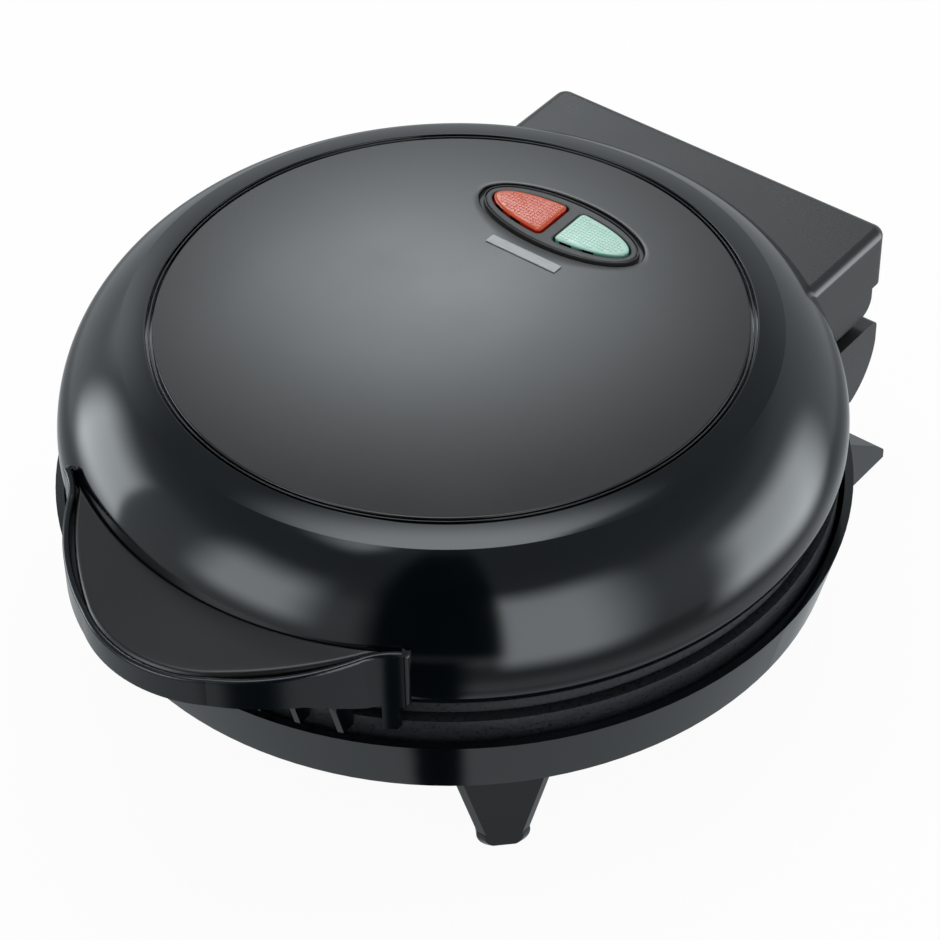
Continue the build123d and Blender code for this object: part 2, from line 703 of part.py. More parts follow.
# Cord gland in the rear of the hinge block
gland_in_y = block_rear_y - block_wall_t - 1.6
gland = rod_y(0, gland_z, gland_in_y, block_rear_y + 0.5, gland_r)
gland += rod_y(0, gland_z, block_rear_y, block_rear_y + gland_flange_t, gland_flange_r)
gland += rod_y(0, gland_z, gland_in_y, block_rear_y - block_wall_t, gland_r + 0.9)
gland -= rod_y(0, gland_z, gland_in_y - 1, block_rear_y + gland_flange_t + 1, gland_bore_r)

# Hinge pins: pressed in the base's ears, running in the lid's knuckles
hinge_pins = []
for side in (-1, 1):
    inner = side * (ear_in_x - 1.5)
    outer = side * (ear_in_x + ear_t + knuckle_side_gap + pin_reach)
    hinge_pins.append(rod_x(hinge_axis_y, hinge_axis_z, inner, outer, pin_r))

# Lid shell
inner_low_r = lid_foot_r - lid_wall_t
shoulder_unit = ((shoulder_r - flank_arc_c) / flank_arc_r, shoulder_h / flank_arc_r)
inner_arc_r = flank_arc_r - lid_wall_t
inner_shoulder = (flank_arc_c + inner_arc_r * shoulder_unit[0], 0, lid_wide_z + inner_arc_r * shoulder_unit[1])
inner_mid_z = (lid_wide_z + inner_shoulder[2]) / 2
lid_shell = revolve(make_face(Curve() + flank_edges() + [
    upright(bowed((shoulder_r, shoulder_z), (crease_r, crease_z), brow_bulge)),
    upright(bowed((crease_r, crease_z), (groove_r, lid_top_z), ring_bulge)),
    Polyline((groove_r, 0, lid_top_z), (groove_r, 0, recess_z), (0, 0, recess_z), (0, 0, roof_z),
             (groove_r, 0, roof_z), inner_shoulder),
    ThreePointArc(inner_shoulder, (on_flank(inner_mid_z, lid_wall_t), 0, inner_mid_z),
                  (lid_wide_r - lid_wall_t, 0, lid_wide_z)),
    Polyline((lid_wide_r - lid_wall_t, 0, lid_wide_z), (inner_low_r, 0, lid_edge_z),
             (lid_foot_r, 0, lid_edge_z)),
]), Axis.Z)
lid_full = lid_envelope(0)
spigot_top_z = lid_edge_z + spigot_h
for x, y in rim_places:
    lid_shell += post(x, y, spigot_top_z, shoulder_z, boss_r) & lid_full
    lid_shell -= post(x, y, spigot_top_z - 1, spigot_top_z + 9, thread_hole_r)
lid_shell -= Pos(0, window_y, roof_z - 1) * extrude(Ellipse(lens_a + 0.6, lens_b + 0.6), roof_t + 2)

# Lid top panel: slightly crowned disc lying in the shell's recess, ringed by the channel
panel_r = groove_r - groove_w
panel_edge_z = lid_top_z
top_panel = revolve(make_face(Curve() + [
    Polyline((0, 0, panel_edge_z + panel_crown), (0, 0, recess_z), (panel_r, 0, recess_z),
             (panel_r, 0, panel_edge_z)),
    Bezier((panel_r, 0, panel_edge_z), (panel_r / 2, 0, panel_edge_z + panel_crown),
           (0, 0, panel_edge_z + panel_crown)),
]), Axis.Z)
top_panel -= Pos(0, window_y, recess_z - 1) * extrude(
    Ellipse(bezel_a + fit_gap, bezel_b + fit_gap), groove_depth + panel_crown + 3)
trim_seat_z = panel_edge_z + panel_crown * (1 - (trim_y / panel_r) ** 2) - trim_t / 2
top_panel -= Pos(0, trim_y, trim_seat_z + 2) * Box(trim_l + 2 * fit_gap, trim_w + 2 * fit_gap, 4)
trim_plate = Pos(0, trim_y, trim_seat_z + trim_t / 2) * Box(trim_l, trim_w, trim_t)

# Indicator bezel, lenses, lamps and their holder
bezel_top_z = recess_z + bezel_h
bezel = Pos(0, window_y, recess_z) * extrude(Ellipse(bezel_a, bezel_b), bezel_h)
bezel = fillet(bezel.faces().sort_by(Axis.Z)[-1].edges(), 0.8)
bezel -= Pos(0, window_y, bezel_top_z - bezel_dish) * extrude(
    Ellipse(bezel_a - bezel_rim, bezel_b - bezel_rim), bezel_dish + 1)
lens_top_z = bezel_top_z - 0.3


def lens_face(side, grow):
    half = Pos(side * (lens_bar - grow + lens_a), 0) * Rectangle(2 * lens_a, 4 * lens_b)
    return Ellipse(lens_a + grow, lens_b + grow) & half


lenses = []
for side in (-1, 1):
    bezel -= Pos(0, window_y, recess_z - 1) * extrude(lens_face(side, fit_gap), bezel_h + 2)
    lens = Pos(0, window_y, lens_top_z - lens_t) * extrude(lens_face(side, 0), lens_t)
    lenses.append(fillet(lens.faces().sort_by(Axis.Z)[-1].edges(), 0.7))

holder_t = 1.6
holder_half_x = lens_a + 1.5
holder_half_y = lens_b + 2.5
holder_h = 13.0
holder_low_z = roof_z - holder_h
lamp_z = holder_low_z + holder_t + lamp_r + 0.3
lamp_holder = block((-holder_half_x, holder_half_x), (window_y - holder_half_y, window_y + holder_half_y),
                    (holder_low_z, roof_z))
lamp_holder -= block((-holder_half_x + holder_t, holder_half_x - holder_t),
                     (window_y - holder_half_y + holder_t, window_y + holder_half_y - holder_t),
                     (holder_low_z + holder_t, roof_z + 1))
lamps = []
for side in (-1, 1):
    x = side * lamp_x
    lamp = rod_x(window_y, lamp_z, x - lamp_l / 2, x + lamp_l / 2, lamp_r)
    lamps.append(lamp)
    for end in (x - lamp_l / 4, x + lamp_l / 4):
        saddle = block((end - 0.8, end + 0.8), (window_y - lamp_r, window_y + lamp_r),
                       (holder_low_z + 1, lamp_z))
        lamp_holder += saddle - rod_x(window_y, lamp_z, end - 2, end + 2, lamp_r + 0.1)

# Lid rim ring: the inset skirt under the lid, screwed up into the shell
lid_deck_z = skirt_z + ring_t
upper_ledge_z = 2 * part_z - flange_z
lid_ring = turned([
    (skirt_r, skirt_z), (skirt_r, lid_edge_z), (spigot_r, lid_edge_z), (spigot_r, spigot_top_z),
    (spigot_r - ring_t, spigot_top_z), (spigot_r - ring_t, lid_deck_z),
    (deck_r + ring_t, lid_deck_z), (deck_r + ring_t, upper_ledge_z + ledge_t),
    (ledge_r, upper_ledge_z + ledge_t), (ledge_r, upper_ledge_z), (deck_r, upper_ledge_z),
    (deck_r, skirt_z),
])
for x, y in rim_places:
    lid_ring += post(x, y, lid_deck_z - 1, spigot_top_z, boss_r)
    lid_ring -= post(x, y, skirt_z - 1, spigot_top_z + 1, screw_hole_r)
    lid_ring -= post(x, y, skirt_z - 1, lid_deck_z, screw_head_r + 0.3)
for angle in plate_screw_angles:
    x, y = polar((ledge_r + deck_r) / 2, angle)
    lid_ring -= post(x, y, upper_ledge_z - 1, upper_ledge_z + ledge_t + 1, screw_hole_r)
lid_screws = [
    post(x, y, lid_deck_z - head_h, lid_deck_z, screw_head_r)
    + post(x, y, lid_deck_z - head_h / 2, spigot_top_z + 7, screw_r)
    for x, y in rim_places
]

# Hinge cover on the lid, with the two knuckles
seat_cut = lid_envelope(fit_gap)
cover = block((-hinge_half_w, hinge_half_w), (0, hinge_rear_y), (cover_low_z, cover_top_z))
cover = fillet(cover.edges().filter_by(Axis.Z).sort_by(Axis.Y)[-2:], cover_corner_r)
cover = fillet(cover.faces().sort_by(Axis.Z)[-1].edges(), cover_edge_r)
cover -= block((-hinge_half_w + cover_wall_t, hinge_half_w - cover_wall_t),
               (-1, hinge_rear_y - cover_wall_t), (cover_low_z + cover_wall_t, cover_top_z - cover_wall_t))
knuckle_rear = hinge_axis_y + knuckle_r
knuckle_low_z = hinge_axis_z - knuckle_r
for side in (-1, 1):
    xs = sorted((side * (ear_in_x + ear_t + knuckle_side_gap), side * (hinge_half_w - knuckle_inset)))
    cover += block(xs, (flank_in_y, hinge_axis_y), (knuckle_low_z, cover_low_z + cover_wall_t))
    cover += block(xs, (hinge_axis_y, knuckle_rear), (hinge_axis_z, cover_low_z + cover_wall_t))
    cover += rod_x(hinge_axis_y, hinge_axis_z, xs[0], xs[1], knuckle_r)
for side in (-1, 1):
    inner = side * (ear_in_x + ear_t)
    outer = side * (ear_in_x + ear_t + knuckle_side_gap + pin_reach + 1)
    cover -= rod_x(hinge_axis_y, hinge_axis_z, inner, outer, pin_r + pin_running)
cover -= post(0, 0, knuckle_low_z - 1, cover_low_z, bowl_top_r + knuckle_clear)
cover_screws = []
for x in [side * x for side in (-1, 1) for x in cover_screw_xs]:
    cover += rod_y(x, side_screw_z, flank_in_y, hinge_rear_y - cover_wall_t / 2, boss_r)
    seat = sqrt((on_flank(side_screw_z, lid_wall_t)) ** 2 - (abs(x) + screw_head_r) ** 2) - fit_gap
    cover_screws.append(
        rod_y(x, side_screw_z, seat - head_h, seat, screw_head_r)
        + rod_y(x, side_screw_z, seat - head_h / 2, seat + cover_screw_reach, screw_r)
    )
    cover -= rod_y(x, side_screw_z, flank_in_y, seat + cover_screw_reach + 1, thread_hole_r)
    lid_shell -= rod_y(x, side_screw_z, flank_in_y, hinge_axis_y, screw_hole_r)
cover -= seat_cut
cover = cover.solids().sort_by(SortBy.VOLUME)[-1]
lid_shell -= rod_y(0, side_screw_z, flank_in_y, hinge_axis_y, wire_hole_r)

# Handle surround: outline in plan, from the nose round to the end on the +X side
wing_bend = at_wide(wing_bend_x, wing_bend_out)
handle_end = at_wide(handle_end_x, handle_end_out)
cap_end = at_wide(cap_end_x, -cap_end_in)
handle_back_y = -flank_in_y


def crescent(nose, radius, half_angle, bulge, stops, back_x):
    """Plan face of the handle: nose arc, bowed side, then any further (end, bulge) arcs."""
    cy = nose + radius
    mid = radians(half_angle / 2)
    shoulder = (radius * sin(radians(half_angle)), cy - radius * cos(radians(half_angle)))
    edges = [ThreePointArc((0, nose), (radius * sin(mid), cy - radius * cos(mid)), shoulder)]
    start = shoulder
    for end, bow in stops:
        edges.append(bowed(start, end, bow))
        start = end
    edges.append(Polyline(start, (back_x, handle_back_y), (0, handle_back_y), (0, nose)))
    half = make_face(Curve() + edges)
    return half + mirror(half, about=Plane.YZ)


surround_face = crescent(nose_y, nose_r, nose_half_angle, handle_side_bulge,
                         [(wing_bend, handle_side_bulge), (handle_end, -wing_flare)], wing_return_x)
tips = surround_face.vertices().filter_by(lambda v: abs(abs(v.X) - handle_end[0]) < 0.01)
surround_face = fillet(tips, wing_end_r)
cap_nose = nose_y + handle_wall_t + cap_clear
cap_face = crescent(cap_nose, cap_nose_r, cap_half_angle, cap_side_bulge,
                    [(cap_end, cap_side_bulge)], cap_end[0] + 2)
surround_in = offset(surround_face, -handle_wall_t)


def handle_plane(drop, slope):
    """Plane that rises from the nose towards the lid, lowered by a distance."""
    return Plane(origin=(0, nose_y, handle_top_z - drop), z_dir=(0, -slope, 1))


def under(face, low_z, drop, slope=handle_slope):
    """Upright solid on a plan face, from a height up to the sloping plane."""
    tall = Pos(0, 0, low_z) * extrude(face, handle_top_z + 20 - low_z)
    return split(tall, bisect_by=handle_plane(drop, slope), keep=Keep.BOTTOM)


surround = under(surround_face, handle_leg_low_z, handle_step, handle_rim_slope)
surround -= under(surround_in, handle_leg_low_z - 1, -20, 0)
rim_face = surround.faces().sort_by(lambda f: f.center().Z)[-1]
surround = fillet(rim_face.edges(), handle_rim_edge_r)

# The wall's lower edge, level round the nose and falling to the end legs, and the legs' outer sides
under_wall = Plane.YZ * make_face(Polyline(
    (2 * nose_y, 0), (2 * nose_y, handle_wall_low_z), (handle_level_y, handle_wall_low_z),
    (wing_bend[1], handle_wall_end_z), (0, handle_wall_end_z), (0, 0), close=True))
surround -= extrude(under_wall, handle_leg_x, both=True)
tip_z = handle_top_z - handle_step + handle_rim_slope * (handle_end[1] - nose_y)
beside_leg = Plane.XZ * make_face(Polyline(
    (handle_leg_sole_x, 0), (handle_leg_sole_x + 0.4, handle_leg_low_z + 4),
    (handle_leg_sole_x + 1.0, handle_wall_end_z - 1), (handle_end[0] - 0.6, handle_wall_end_z + 1),
    (2 * handle_end_x, handle_wall_end_z + 1), (2 * handle_end_x, 0), close=True))
tip_x = handle_end[0] - tip_round_r - wing_end_r / 3
over_tip = block((tip_x, 2 * handle_end_x), (nose_y, handle_back_y), (tip_z - tip_round_r, tip_z + 20))
over_tip -= rod_y(tip_x, tip_z - tip_round_r, nose_y - 1, handle_back_y + 1, tip_round_r)
over_tip += block((wing_bend_x + 2, 2 * handle_end_x), (handle_end[1] + wing_end_r, handle_back_y),
                  (tip_z - tip_round_r / 2, tip_z + 20))
for removed in (extrude(beside_leg, -nose_y), over_tip):
    surround -= removed
    surround -= mirror(removed, about=Plane.YZ)
surround += under(surround_in, fin_low_z, cap_t + cap_clear) - under(
    surround_in, fin_low_z - 1, cap_t + cap_clear + tray_t)
fin_zone = under(surround_in, fin_low_z, cap_t + cap_clear + tray_t / 2)
fin_front = Pos(0, 0, (fin_low_z + handle_wall_low_z) / 2) * Cone(
    bowl_top_r + fin_low_out, bowl_top_r + fin_high_out, handle_wall_low_z - fin_low_z)
fin_low_cut = block((-handle_end_x, handle_end_x), (2 * nose_y, 0), (0, handle_wall_low_z)) - fin_front
for step in range(fin_count):
    x = (step - (fin_count - 1) / 2) * fin_pitch
    blade = block((x - fin_t / 2, x + fin_t / 2), (nose_y, handle_back_y), (fin_low_z, handle_top_z + 10))
    surround += (blade & fin_zone) - fin_low_cut
handle_screws = []
for side in (-1, 1):
    x = side * handle_screw_x
    seat = -sqrt((on_flank(side_screw_z, lid_wall_t)) ** 2 - (handle_screw_x + screw_head_r) ** 2) + fit_gap
    handle_boss = rod_y(x, side_screw_z, seat - handle_screw_reach - 3, handle_back_y, boss_r)
    surround += handle_boss & under(surround_face, handle_leg_low_z, cap_t + 1)
    surround -= rod_y(x, side_screw_z, seat - handle_screw_reach - 1, handle_back_y, thread_hole_r)
    handle_screws.append(
        rod_y(x, side_screw_z, seat, seat + head_h, screw_head_r)
        + rod_y(x, side_screw_z, seat - handle_screw_reach, seat + head_h / 2, screw_r)
    )
    lid_shell -= rod_y(x, side_screw_z, nose_y, handle_back_y, screw_hole_r)
surround -= seat_cut
surround -= post(0, 0, fin_low_z - 1, lid_edge_z, leg_clear_r)
cap = under(cap_face, handle_top_z - 12, 0) - under(cap_face, handle_top_z - 20, cap_t)
cap -= seat_cut
cap = cap.solids().sort_by(SortBy.VOLUME)[-1]
cap = fillet(cap.faces().sort_by(lambda f: f.center().Z)[-1].edges(), cap_edge_r)

# Files, one for each piece or group of equal fasteners
save("base_housing", housing)
save("hinge_block", hinge_block)
save("hinge_block_screws", *block_screws)
save("front_feet", *front_feet)
save("front_foot_screws", *front_foot_screws)
save("rear_feet", *rear_feet)
save("rear_foot_screws", *rear_foot_screws)
save("foot_pads", *foot_pads)
save("base_rim_ring", base_ring)
save("base_screws", *base_screws)
save("lower_cooking_plate", cooking_plate())
save("lower_plate_screws", *plate_screws(flange_z - ledge_t, 1))
save("lower_heating_element", heater())
save("lower_reflector", reflector())
save("lower_reflector_screws", *reflector_screws())
save("thermostat", thermostat)
save("thermal_fuse", thermal_fuse)
save("fuse_clip", fuse_clip)
save("terminal_block", terminal_block)
save("lower_lead_wires", *lead_wires())
save("cord_gland", gland)
save("hinge_pins", *hinge_pins)

save("lid_shell", lid_shell)
save("lid_top_panel", top_panel)
save("indicator_bezel", bezel)
save("red_lens", lenses[0])
save("green_lens", lenses[1])
save("indicator_lamps", *lamps)
save("lamp_holder", lamp_holder)
save("blank_trim_plate", trim_plate)
save("lid_rim_ring", lid_ring)
save("lid_screws", *lid_screws)
save("upper_cooking_plate", flipped(cooking_plate()))
save("upper_plate_screws", *plate_screws(upper_ledge_z + ledge_t, -1))
save("upper_heating_element", flipped(heater()))
save("upper_reflector", flipped(reflector()))
save("upper_reflector_screws", *[flipped(s) for s in reflector_screws()])
save("upper_lead_wires", *[flipped(s) for s in lead_wires()])
save("lid_hinge_cover", cover)
save("cover_screws", *cover_screws)
save("handle_surround", surround)
save("handle_top_panel", cap)
save("handle_screws", *handle_screws)
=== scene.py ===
import bpy
import bmesh
from math import sin, cos, pi, radians, sqrt
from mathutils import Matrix, Quaternion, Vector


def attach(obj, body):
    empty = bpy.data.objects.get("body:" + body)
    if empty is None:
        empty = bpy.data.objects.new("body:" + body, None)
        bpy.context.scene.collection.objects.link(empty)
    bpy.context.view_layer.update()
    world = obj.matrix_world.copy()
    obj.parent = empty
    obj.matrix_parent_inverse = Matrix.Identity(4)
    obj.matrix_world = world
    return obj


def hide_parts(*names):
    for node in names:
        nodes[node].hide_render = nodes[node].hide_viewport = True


# Round two-pocket omelette maker, black plastic, lid closed at rest. The shapes of the pieces are
# written in mm and turned into metres as they are built. The studio, lamp and camera are in metres.
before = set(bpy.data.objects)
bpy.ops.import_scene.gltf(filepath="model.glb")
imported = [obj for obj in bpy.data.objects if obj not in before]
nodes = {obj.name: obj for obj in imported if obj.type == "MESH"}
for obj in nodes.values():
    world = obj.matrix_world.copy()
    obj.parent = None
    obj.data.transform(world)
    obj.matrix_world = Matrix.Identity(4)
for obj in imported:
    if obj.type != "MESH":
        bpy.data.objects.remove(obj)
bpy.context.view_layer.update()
mm = 0.001

print("stage: helpers")


def linkObject(name, mesh):
    item = bpy.data.objects.new(name, mesh)
    bpy.context.scene.collection.objects.link(item)
    return item


def setSockets(node, values):
    for key, value in values.items():
        node.inputs[key].default_value = value


def startMaterial(name, color, roughness, **others):
    # a principled finish; whatever is the same all over sits on the shader's own sockets
    material = bpy.data.materials.new(name)
    material.use_nodes = True
    shader = material.node_tree.nodes["Principled BSDF"]
    shader.inputs["Base Color"].default_value = (*color, 1)
    shader.inputs["Roughness"].default_value = roughness
    for key, value in others.items():
        shader.inputs[key.replace("_", " ")].default_value = value
    return material, shader


def addNode(material, kind, values=None, **settings):
    node = material.node_tree.nodes.new(kind)
    for key, value in settings.items():
        setattr(node, key, value)
    if values:
        setSockets(node, values)
    return node


def wire(material, source, target):
    material.node_tree.links.new(source, target)


def objectNoise(material, scale, detail=2.0, stretch=(1, 1, 1)):
    # noise in the piece's own coordinates, so it stays put when the piece moves
    place = addNode(material, "ShaderNodeTexCoord")
    mapping = addNode(material, "ShaderNodeMapping", {"Scale": stretch})
    noise = addNode(material, "ShaderNodeTexNoise", {"Scale": scale, "Detail": detail})
    wire(material, place.outputs["Object"], mapping.inputs["Vector"])
    wire(material, mapping.outputs["Vector"], noise.inputs["Vector"])
    return noise.outputs["Fac"]


def spread(material, source, low, high, fromLow=0.3, fromHigh=0.7):
    node = addNode(material, "ShaderNodeMapRange", {
        "From Min": fromLow, "From Max": fromHigh, "To Min": low, "To Max": high})
    wire(material, source, node.inputs["Value"])
    return node.outputs["Result"]


def shadeBetween(material, source, first, second, target, fromLow=0.3, fromHigh=0.7):
    ramp = addNode(material, "ShaderNodeValToRGB")
    ramp.color_ramp.elements[0].position = fromLow
    ramp.color_ramp.elements[1].position = fromHigh
    ramp.color_ramp.elements[0].color = (*first, 1)
    ramp.color_ramp.elements[1].color = (*second, 1)
    wire(material, source, ramp.inputs["Fac"])
    wire(material, ramp.outputs["Color"], target)


def addBump(material, shader, layers):
    # layers of (height, distance in metres, strength), the first one lowest
    previous = None
    for height, distance, strength in layers:
        bump = addNode(material, "ShaderNodeBump", {"Distance": distance, "Strength": strength})
        wire(material, height, bump.inputs["Height"])
        if previous:
            wire(material, previous.outputs["Normal"], bump.inputs["Normal"])
        previous = bump
    wire(material, previous.outputs["Normal"], shader.inputs["Normal"])


print("stage: finishes")

# linear colours; these blacks are dark because the studio in the gloss gives most of their tone
finishes = {
    "polishedBlack": dict(dark=(0.0010, 0.0024, 0.0034), light=(0.0018, 0.0038, 0.0050),
                          roughness=(0.085, 0.125)),
    "satinDisc": dict(dark=(0.0085, 0.0083, 0.0081), light=(0.0125, 0.0122, 0.0119), roughness=(0.15, 0.175)),
    "satinCover": dict(dark=(0.020, 0.020, 0.021), light=(0.028, 0.028, 0.029), roughness=(0.25, 0.31)),
    "satinFrame": dict(dark=(0.040, 0.041, 0.042), light=(0.056, 0.057, 0.058), roughness=(0.26, 0.34)),
    "handleMatt": dict(dark=(0.0042, 0.0042, 0.0042), light=(0.0075, 0.0075, 0.0073), roughness=(0.28, 0.33)),
    "handleSheen": dict(dark=(0.0016, 0.0036, 0.0048), light=(0.0026, 0.0050, 0.0064),
                        roughness=(0.15, 0.20)),
    "texturedBand": dict(dark=(0.012, 0.014, 0.016), light=(0.030, 0.034, 0.038), roughness=(0.26, 0.44)),
}


def polishedBlack():
    values = finishes["polishedBlack"]
    material, shader = startMaterial("polishedBlack", values["dark"], values["roughness"][0])
    haze = objectNoise(material, 38, 3)
    wire(material, spread(material, haze, *values["roughness"]), shader.inputs["Roughness"])
    shadeBetween(material, haze, values["dark"], values["light"], shader.inputs["Base Color"])
    grain = objectNoise(material, 3200, 1)
    addBump(material, shader, [(grain, 0.000003, 0.25)])
    return material


def satinFinish(name):
    # even satin: cloudy roughness over a fine moulded grain
    values = finishes[name]
    material, shader = startMaterial(name, values["dark"], values["roughness"][0])
    cloud = objectNoise(material, 22, 3)
    grain = objectNoise(material, 2600, 2)
    wire(material, spread(material, cloud, *values["roughness"]), shader.inputs["Roughness"])
    shadeBetween(material, grain, values["dark"], values["light"], shader.inputs["Base Color"])
    addBump(material, shader, [(grain, 0.000012, 0.3)])
    return material


def texturedBand():
    values = finishes["texturedBand"]
    material, shader = startMaterial("texturedBand", values["dark"], values["roughness"][0])
    grain = objectNoise(material, 1300, 3)
    wire(material, spread(material, grain, *values["roughness"]), shader.inputs["Roughness"])
    shadeBetween(material, grain, values["dark"], values["light"], shader.inputs["Base Color"])
    addBump(material, shader, [(grain, 0.00012, 0.6)])
    return material


def nonStick():
    material, shader = startMaterial("nonStick", (0.03, 0.03, 0.032), 0.38)
    fleck = objectNoise(material, 1900, 2)
    cloud = objectNoise(material, 60, 3)
    wire(material, spread(material, cloud, 0.32, 0.44), shader.inputs["Roughness"])
    shadeBetween(material, fleck, (0.022, 0.022, 0.024), (0.075, 0.075, 0.080),
                 shader.inputs["Base Color"], 0.45, 0.75)
    addBump(material, shader, [(fleck, 0.00005, 0.35)])
    return material


def bareMetal(name, first, second, low, high, stretch=(1, 1, 1), scale=420):
    material, shader = startMaterial(name, first, low, Metallic=1.0)
    streak = objectNoise(material, scale, 4, stretch)
    wire(material, spread(material, streak, low, high), shader.inputs["Roughness"])
    shadeBetween(material, streak, first, second, shader.inputs["Base Color"])
    addBump(material, shader, [(streak, 0.00003, 0.25)])
    return material


def mouldedSoft(name, first, second, low, high, scale=1400, depth=0.00006):
    material, shader = startMaterial(name, first, low)
    grain = objectNoise(material, scale, 3)
    wire(material, spread(material, grain, low, high), shader.inputs["Roughness"])
    shadeBetween(material, grain, first, second, shader.inputs["Base Color"])
    addBump(material, shader, [(grain, depth, 0.4)])
    return material


def lensPlastic(name, deep, pale):
    # painted light: faces that look up are painted paler, as light falling from above, and the sides keep the
    # deeper tone
    material, shader = startMaterial(name, deep, 0.14)
    shader.inputs["Transmission Weight"].default_value = 0.12
    shader.inputs["Subsurface Weight"].default_value = 0.3
    shader.inputs["Subsurface Radius"].default_value = (0.002, 0.001, 0.0006)
    cell = objectNoise(material, 700, 2)
    facing = addNode(material, "ShaderNodeNewGeometry")
    split = addNode(material, "ShaderNodeSeparateXYZ")
    wire(material, facing.outputs["Normal"], split.inputs["Vector"])
    # the upward share of the normal, which drives the painted light on the lens's top
    paintedTopLight = spread(material, split.outputs["Z"], 0.0, 1.0, 0.35, 0.97)
    cellAndPaintedLight = addNode(material, "ShaderNodeMath", {1: 0.25}, operation="MULTIPLY_ADD")
    wire(material, cell, cellAndPaintedLight.inputs[0])
    wire(material, paintedTopLight, cellAndPaintedLight.inputs[2])
    shadeBetween(material, cellAndPaintedLight.outputs[0], deep, pale, shader.inputs["Base Color"], 0.1, 1.1)
    wire(material, spread(material, cell, 0.10, 0.2), shader.inputs["Roughness"])
    return material


paint = {
    "polished": polishedBlack(),
    "disc": satinFinish("satinDisc"),
    "cover": satinFinish("satinCover"),
    "matt": satinFinish("handleMatt"),
    "sheen": satinFinish("handleSheen"),
    "frame": satinFinish("satinFrame"),
    "band": texturedBand(),
    "plate": nonStick(),
    "steel": bareMetal("zincSteel", (0.48, 0.48, 0.47), (0.62, 0.61, 0.60), 0.24, 0.38),
    "heater": bareMetal("bluedSteel", (0.10, 0.09, 0.085), (0.20, 0.17, 0.16), 0.35, 0.5),
    "reflector": bareMetal("reflectorSheet", (0.66, 0.67, 0.68), (0.80, 0.80, 0.80), 0.18, 0.30,
                           (1, 12, 1)),
    "trim": bareMetal("silverTrim", (0.42, 0.415, 0.41), (0.52, 0.515, 0.51), 0.38, 0.5,
                      (1, 30, 1), 260),
    "rubber": mouldedSoft("softRubber", (0.012, 0.012, 0.012), (0.024, 0.024, 0.024), 0.6, 0.75),
    "ceramic": mouldedSoft("ceramic", (0.60, 0.58, 0.52), (0.74, 0.72, 0.66), 0.4, 0.55, 700),
    "wire": mouldedSoft("sleeveWeave", (0.52, 0.50, 0.45), (0.72, 0.70, 0.64), 0.6, 0.8, 1800,
                        0.00015),
    # each lens's second colour is the paler tone painted on its upward faces: painted light from above
    "red": lensPlastic("redLens", (0.72, 0.024, 0.003), (0.62, 0.105, 0.032)),
    "green": lensPlastic("greenLens", (0.22, 0.56, 0.44), (0.50, 0.76, 0.66)),
    "lamp": lensPlastic("lampGlass", (0.62, 0.42, 0.30), (0.74, 0.56, 0.44)),
}

nodePaint = {
    "polished": ["base_housing", "front_feet", "rear_feet"],
    "sheen": ["handle_surround"],
    "cover": ["lid_hinge_cover", "hinge_block"],
    "matt": ["handle_top_panel"],
    "band": ["base_rim_ring", "lid_rim_ring"],
    "plate": ["lower_cooking_plate", "upper_cooking_plate"],
    "steel": ["hinge_block_screws", "front_foot_screws", "rear_foot_screws", "base_screws",
              "lower_plate_screws", "lower_reflector_screws", "thermal_fuse", "fuse_clip", "hinge_pins",
              "lid_screws", "upper_plate_screws", "upper_reflector_screws", "cover_screws", "handle_screws"],
    "heater": ["lower_heating_element", "upper_heating_element"],
    "reflector": ["lower_reflector", "upper_reflector"],
    "trim": ["blank_trim_plate"],
    "rubber": ["foot_pads", "cord_gland"],
    "ceramic": ["thermostat", "terminal_block", "lamp_holder"],
    "wire": ["lower_lead_wires", "upper_lead_wires"],
    "lamp": ["indicator_lamps"],
}
for key, names in nodePaint.items():
    for name in names:
        slots = nodes[name].material_slots
        for slot in slots:
            slot.material = paint[key]
        if not slots:
            nodes[name].data.materials.append(paint[key])

print("stage: pieces of the lid")

# radii and heights in mm, on the solids' own sizes, with the ridge, the frame's steps, the lenses' pads
# and notches, and the panel's lap and wider roll added here; turned pieces have this many sides
turnedSides = 256
shellShape = dict(
    edge=(108.0, 59.25), edgeRound=0.4, wall=2.3,
    lowArc=dict(radius=10.456, middle=(100.144, 66.15), start=-38.5, steps=12),
    highArc=dict(radius=35.692, middle=(74.908, 66.15), end=49.896, steps=30),
    shoulder=(97.9, 93.45), crease=(91.3, 97.9), channel=(83.6, 99.85),
    browBulge=0.21, ringBulge=0.12, lipRound=0.5, roofTop=98.05, roofLow=95.85,
    ridge=dict(outer=82.95, inner=82.45, top=99.72),
)
discShape = dict(radius=81.8, edgeHeight=99.85, crown=1.0, low=98.1, rimRound=0.45, holeRound=0.4,
                 holeSize=(27.7, 12.2), holeMiddle=50.0)
roofHole = (24.1, 7.8)
frameShape = dict(
    size=(27.5, 12.0), grooveFloor=99.0, low=98.15, ridge=(1.30, 1.62), ridgeTop=100.72,
    lineFloor=99.9, plateIn=1.95, plateTop=100.62, plateLow=99.3, plateRound=0.42,
    opening=(23.75, 7.65), barHalf=1.9, cornerRound=1.7,
)
lensShape = dict(
    gap=0.6, top=101.32, low=98.15, bevel=0.85, padPitch=1.08, padBase=0.80, padTop=0.52,
    padHeight=0.17, padInset=1.0, notchDepth=0.95, notchTop=0.62,
    notches={"red": [(-20.6, -17.2), (-13.6, -10.2)], "green": [(4.6, 8.0), (11.4, 15.2)]},
)
panelShape = dict(
    nose=-132.1, noseRadius=39.0, noseHalfAngle=30.0, end=(55.4, -90.0), bulge=3.0, lap=0.75,
    backRadius=108.95, topAtNose=75.2, slope=0.085, thick=2.3, roll=1.5, backShare=0.45, columns=220,
    tipGap=0.12, tipStop=0.992, rollFill=0.96,
)


def arcPoints(middle, radius, start, end, steps):
    # points of an arc in the (radius, height) plane, angles in degrees from level outwards
    return [(middle[0] + radius * cos(radians(start + (end - start) * k / steps)),
             middle[1] + radius * sin(radians(start + (end - start) * k / steps)))
            for k in range(steps + 1)]


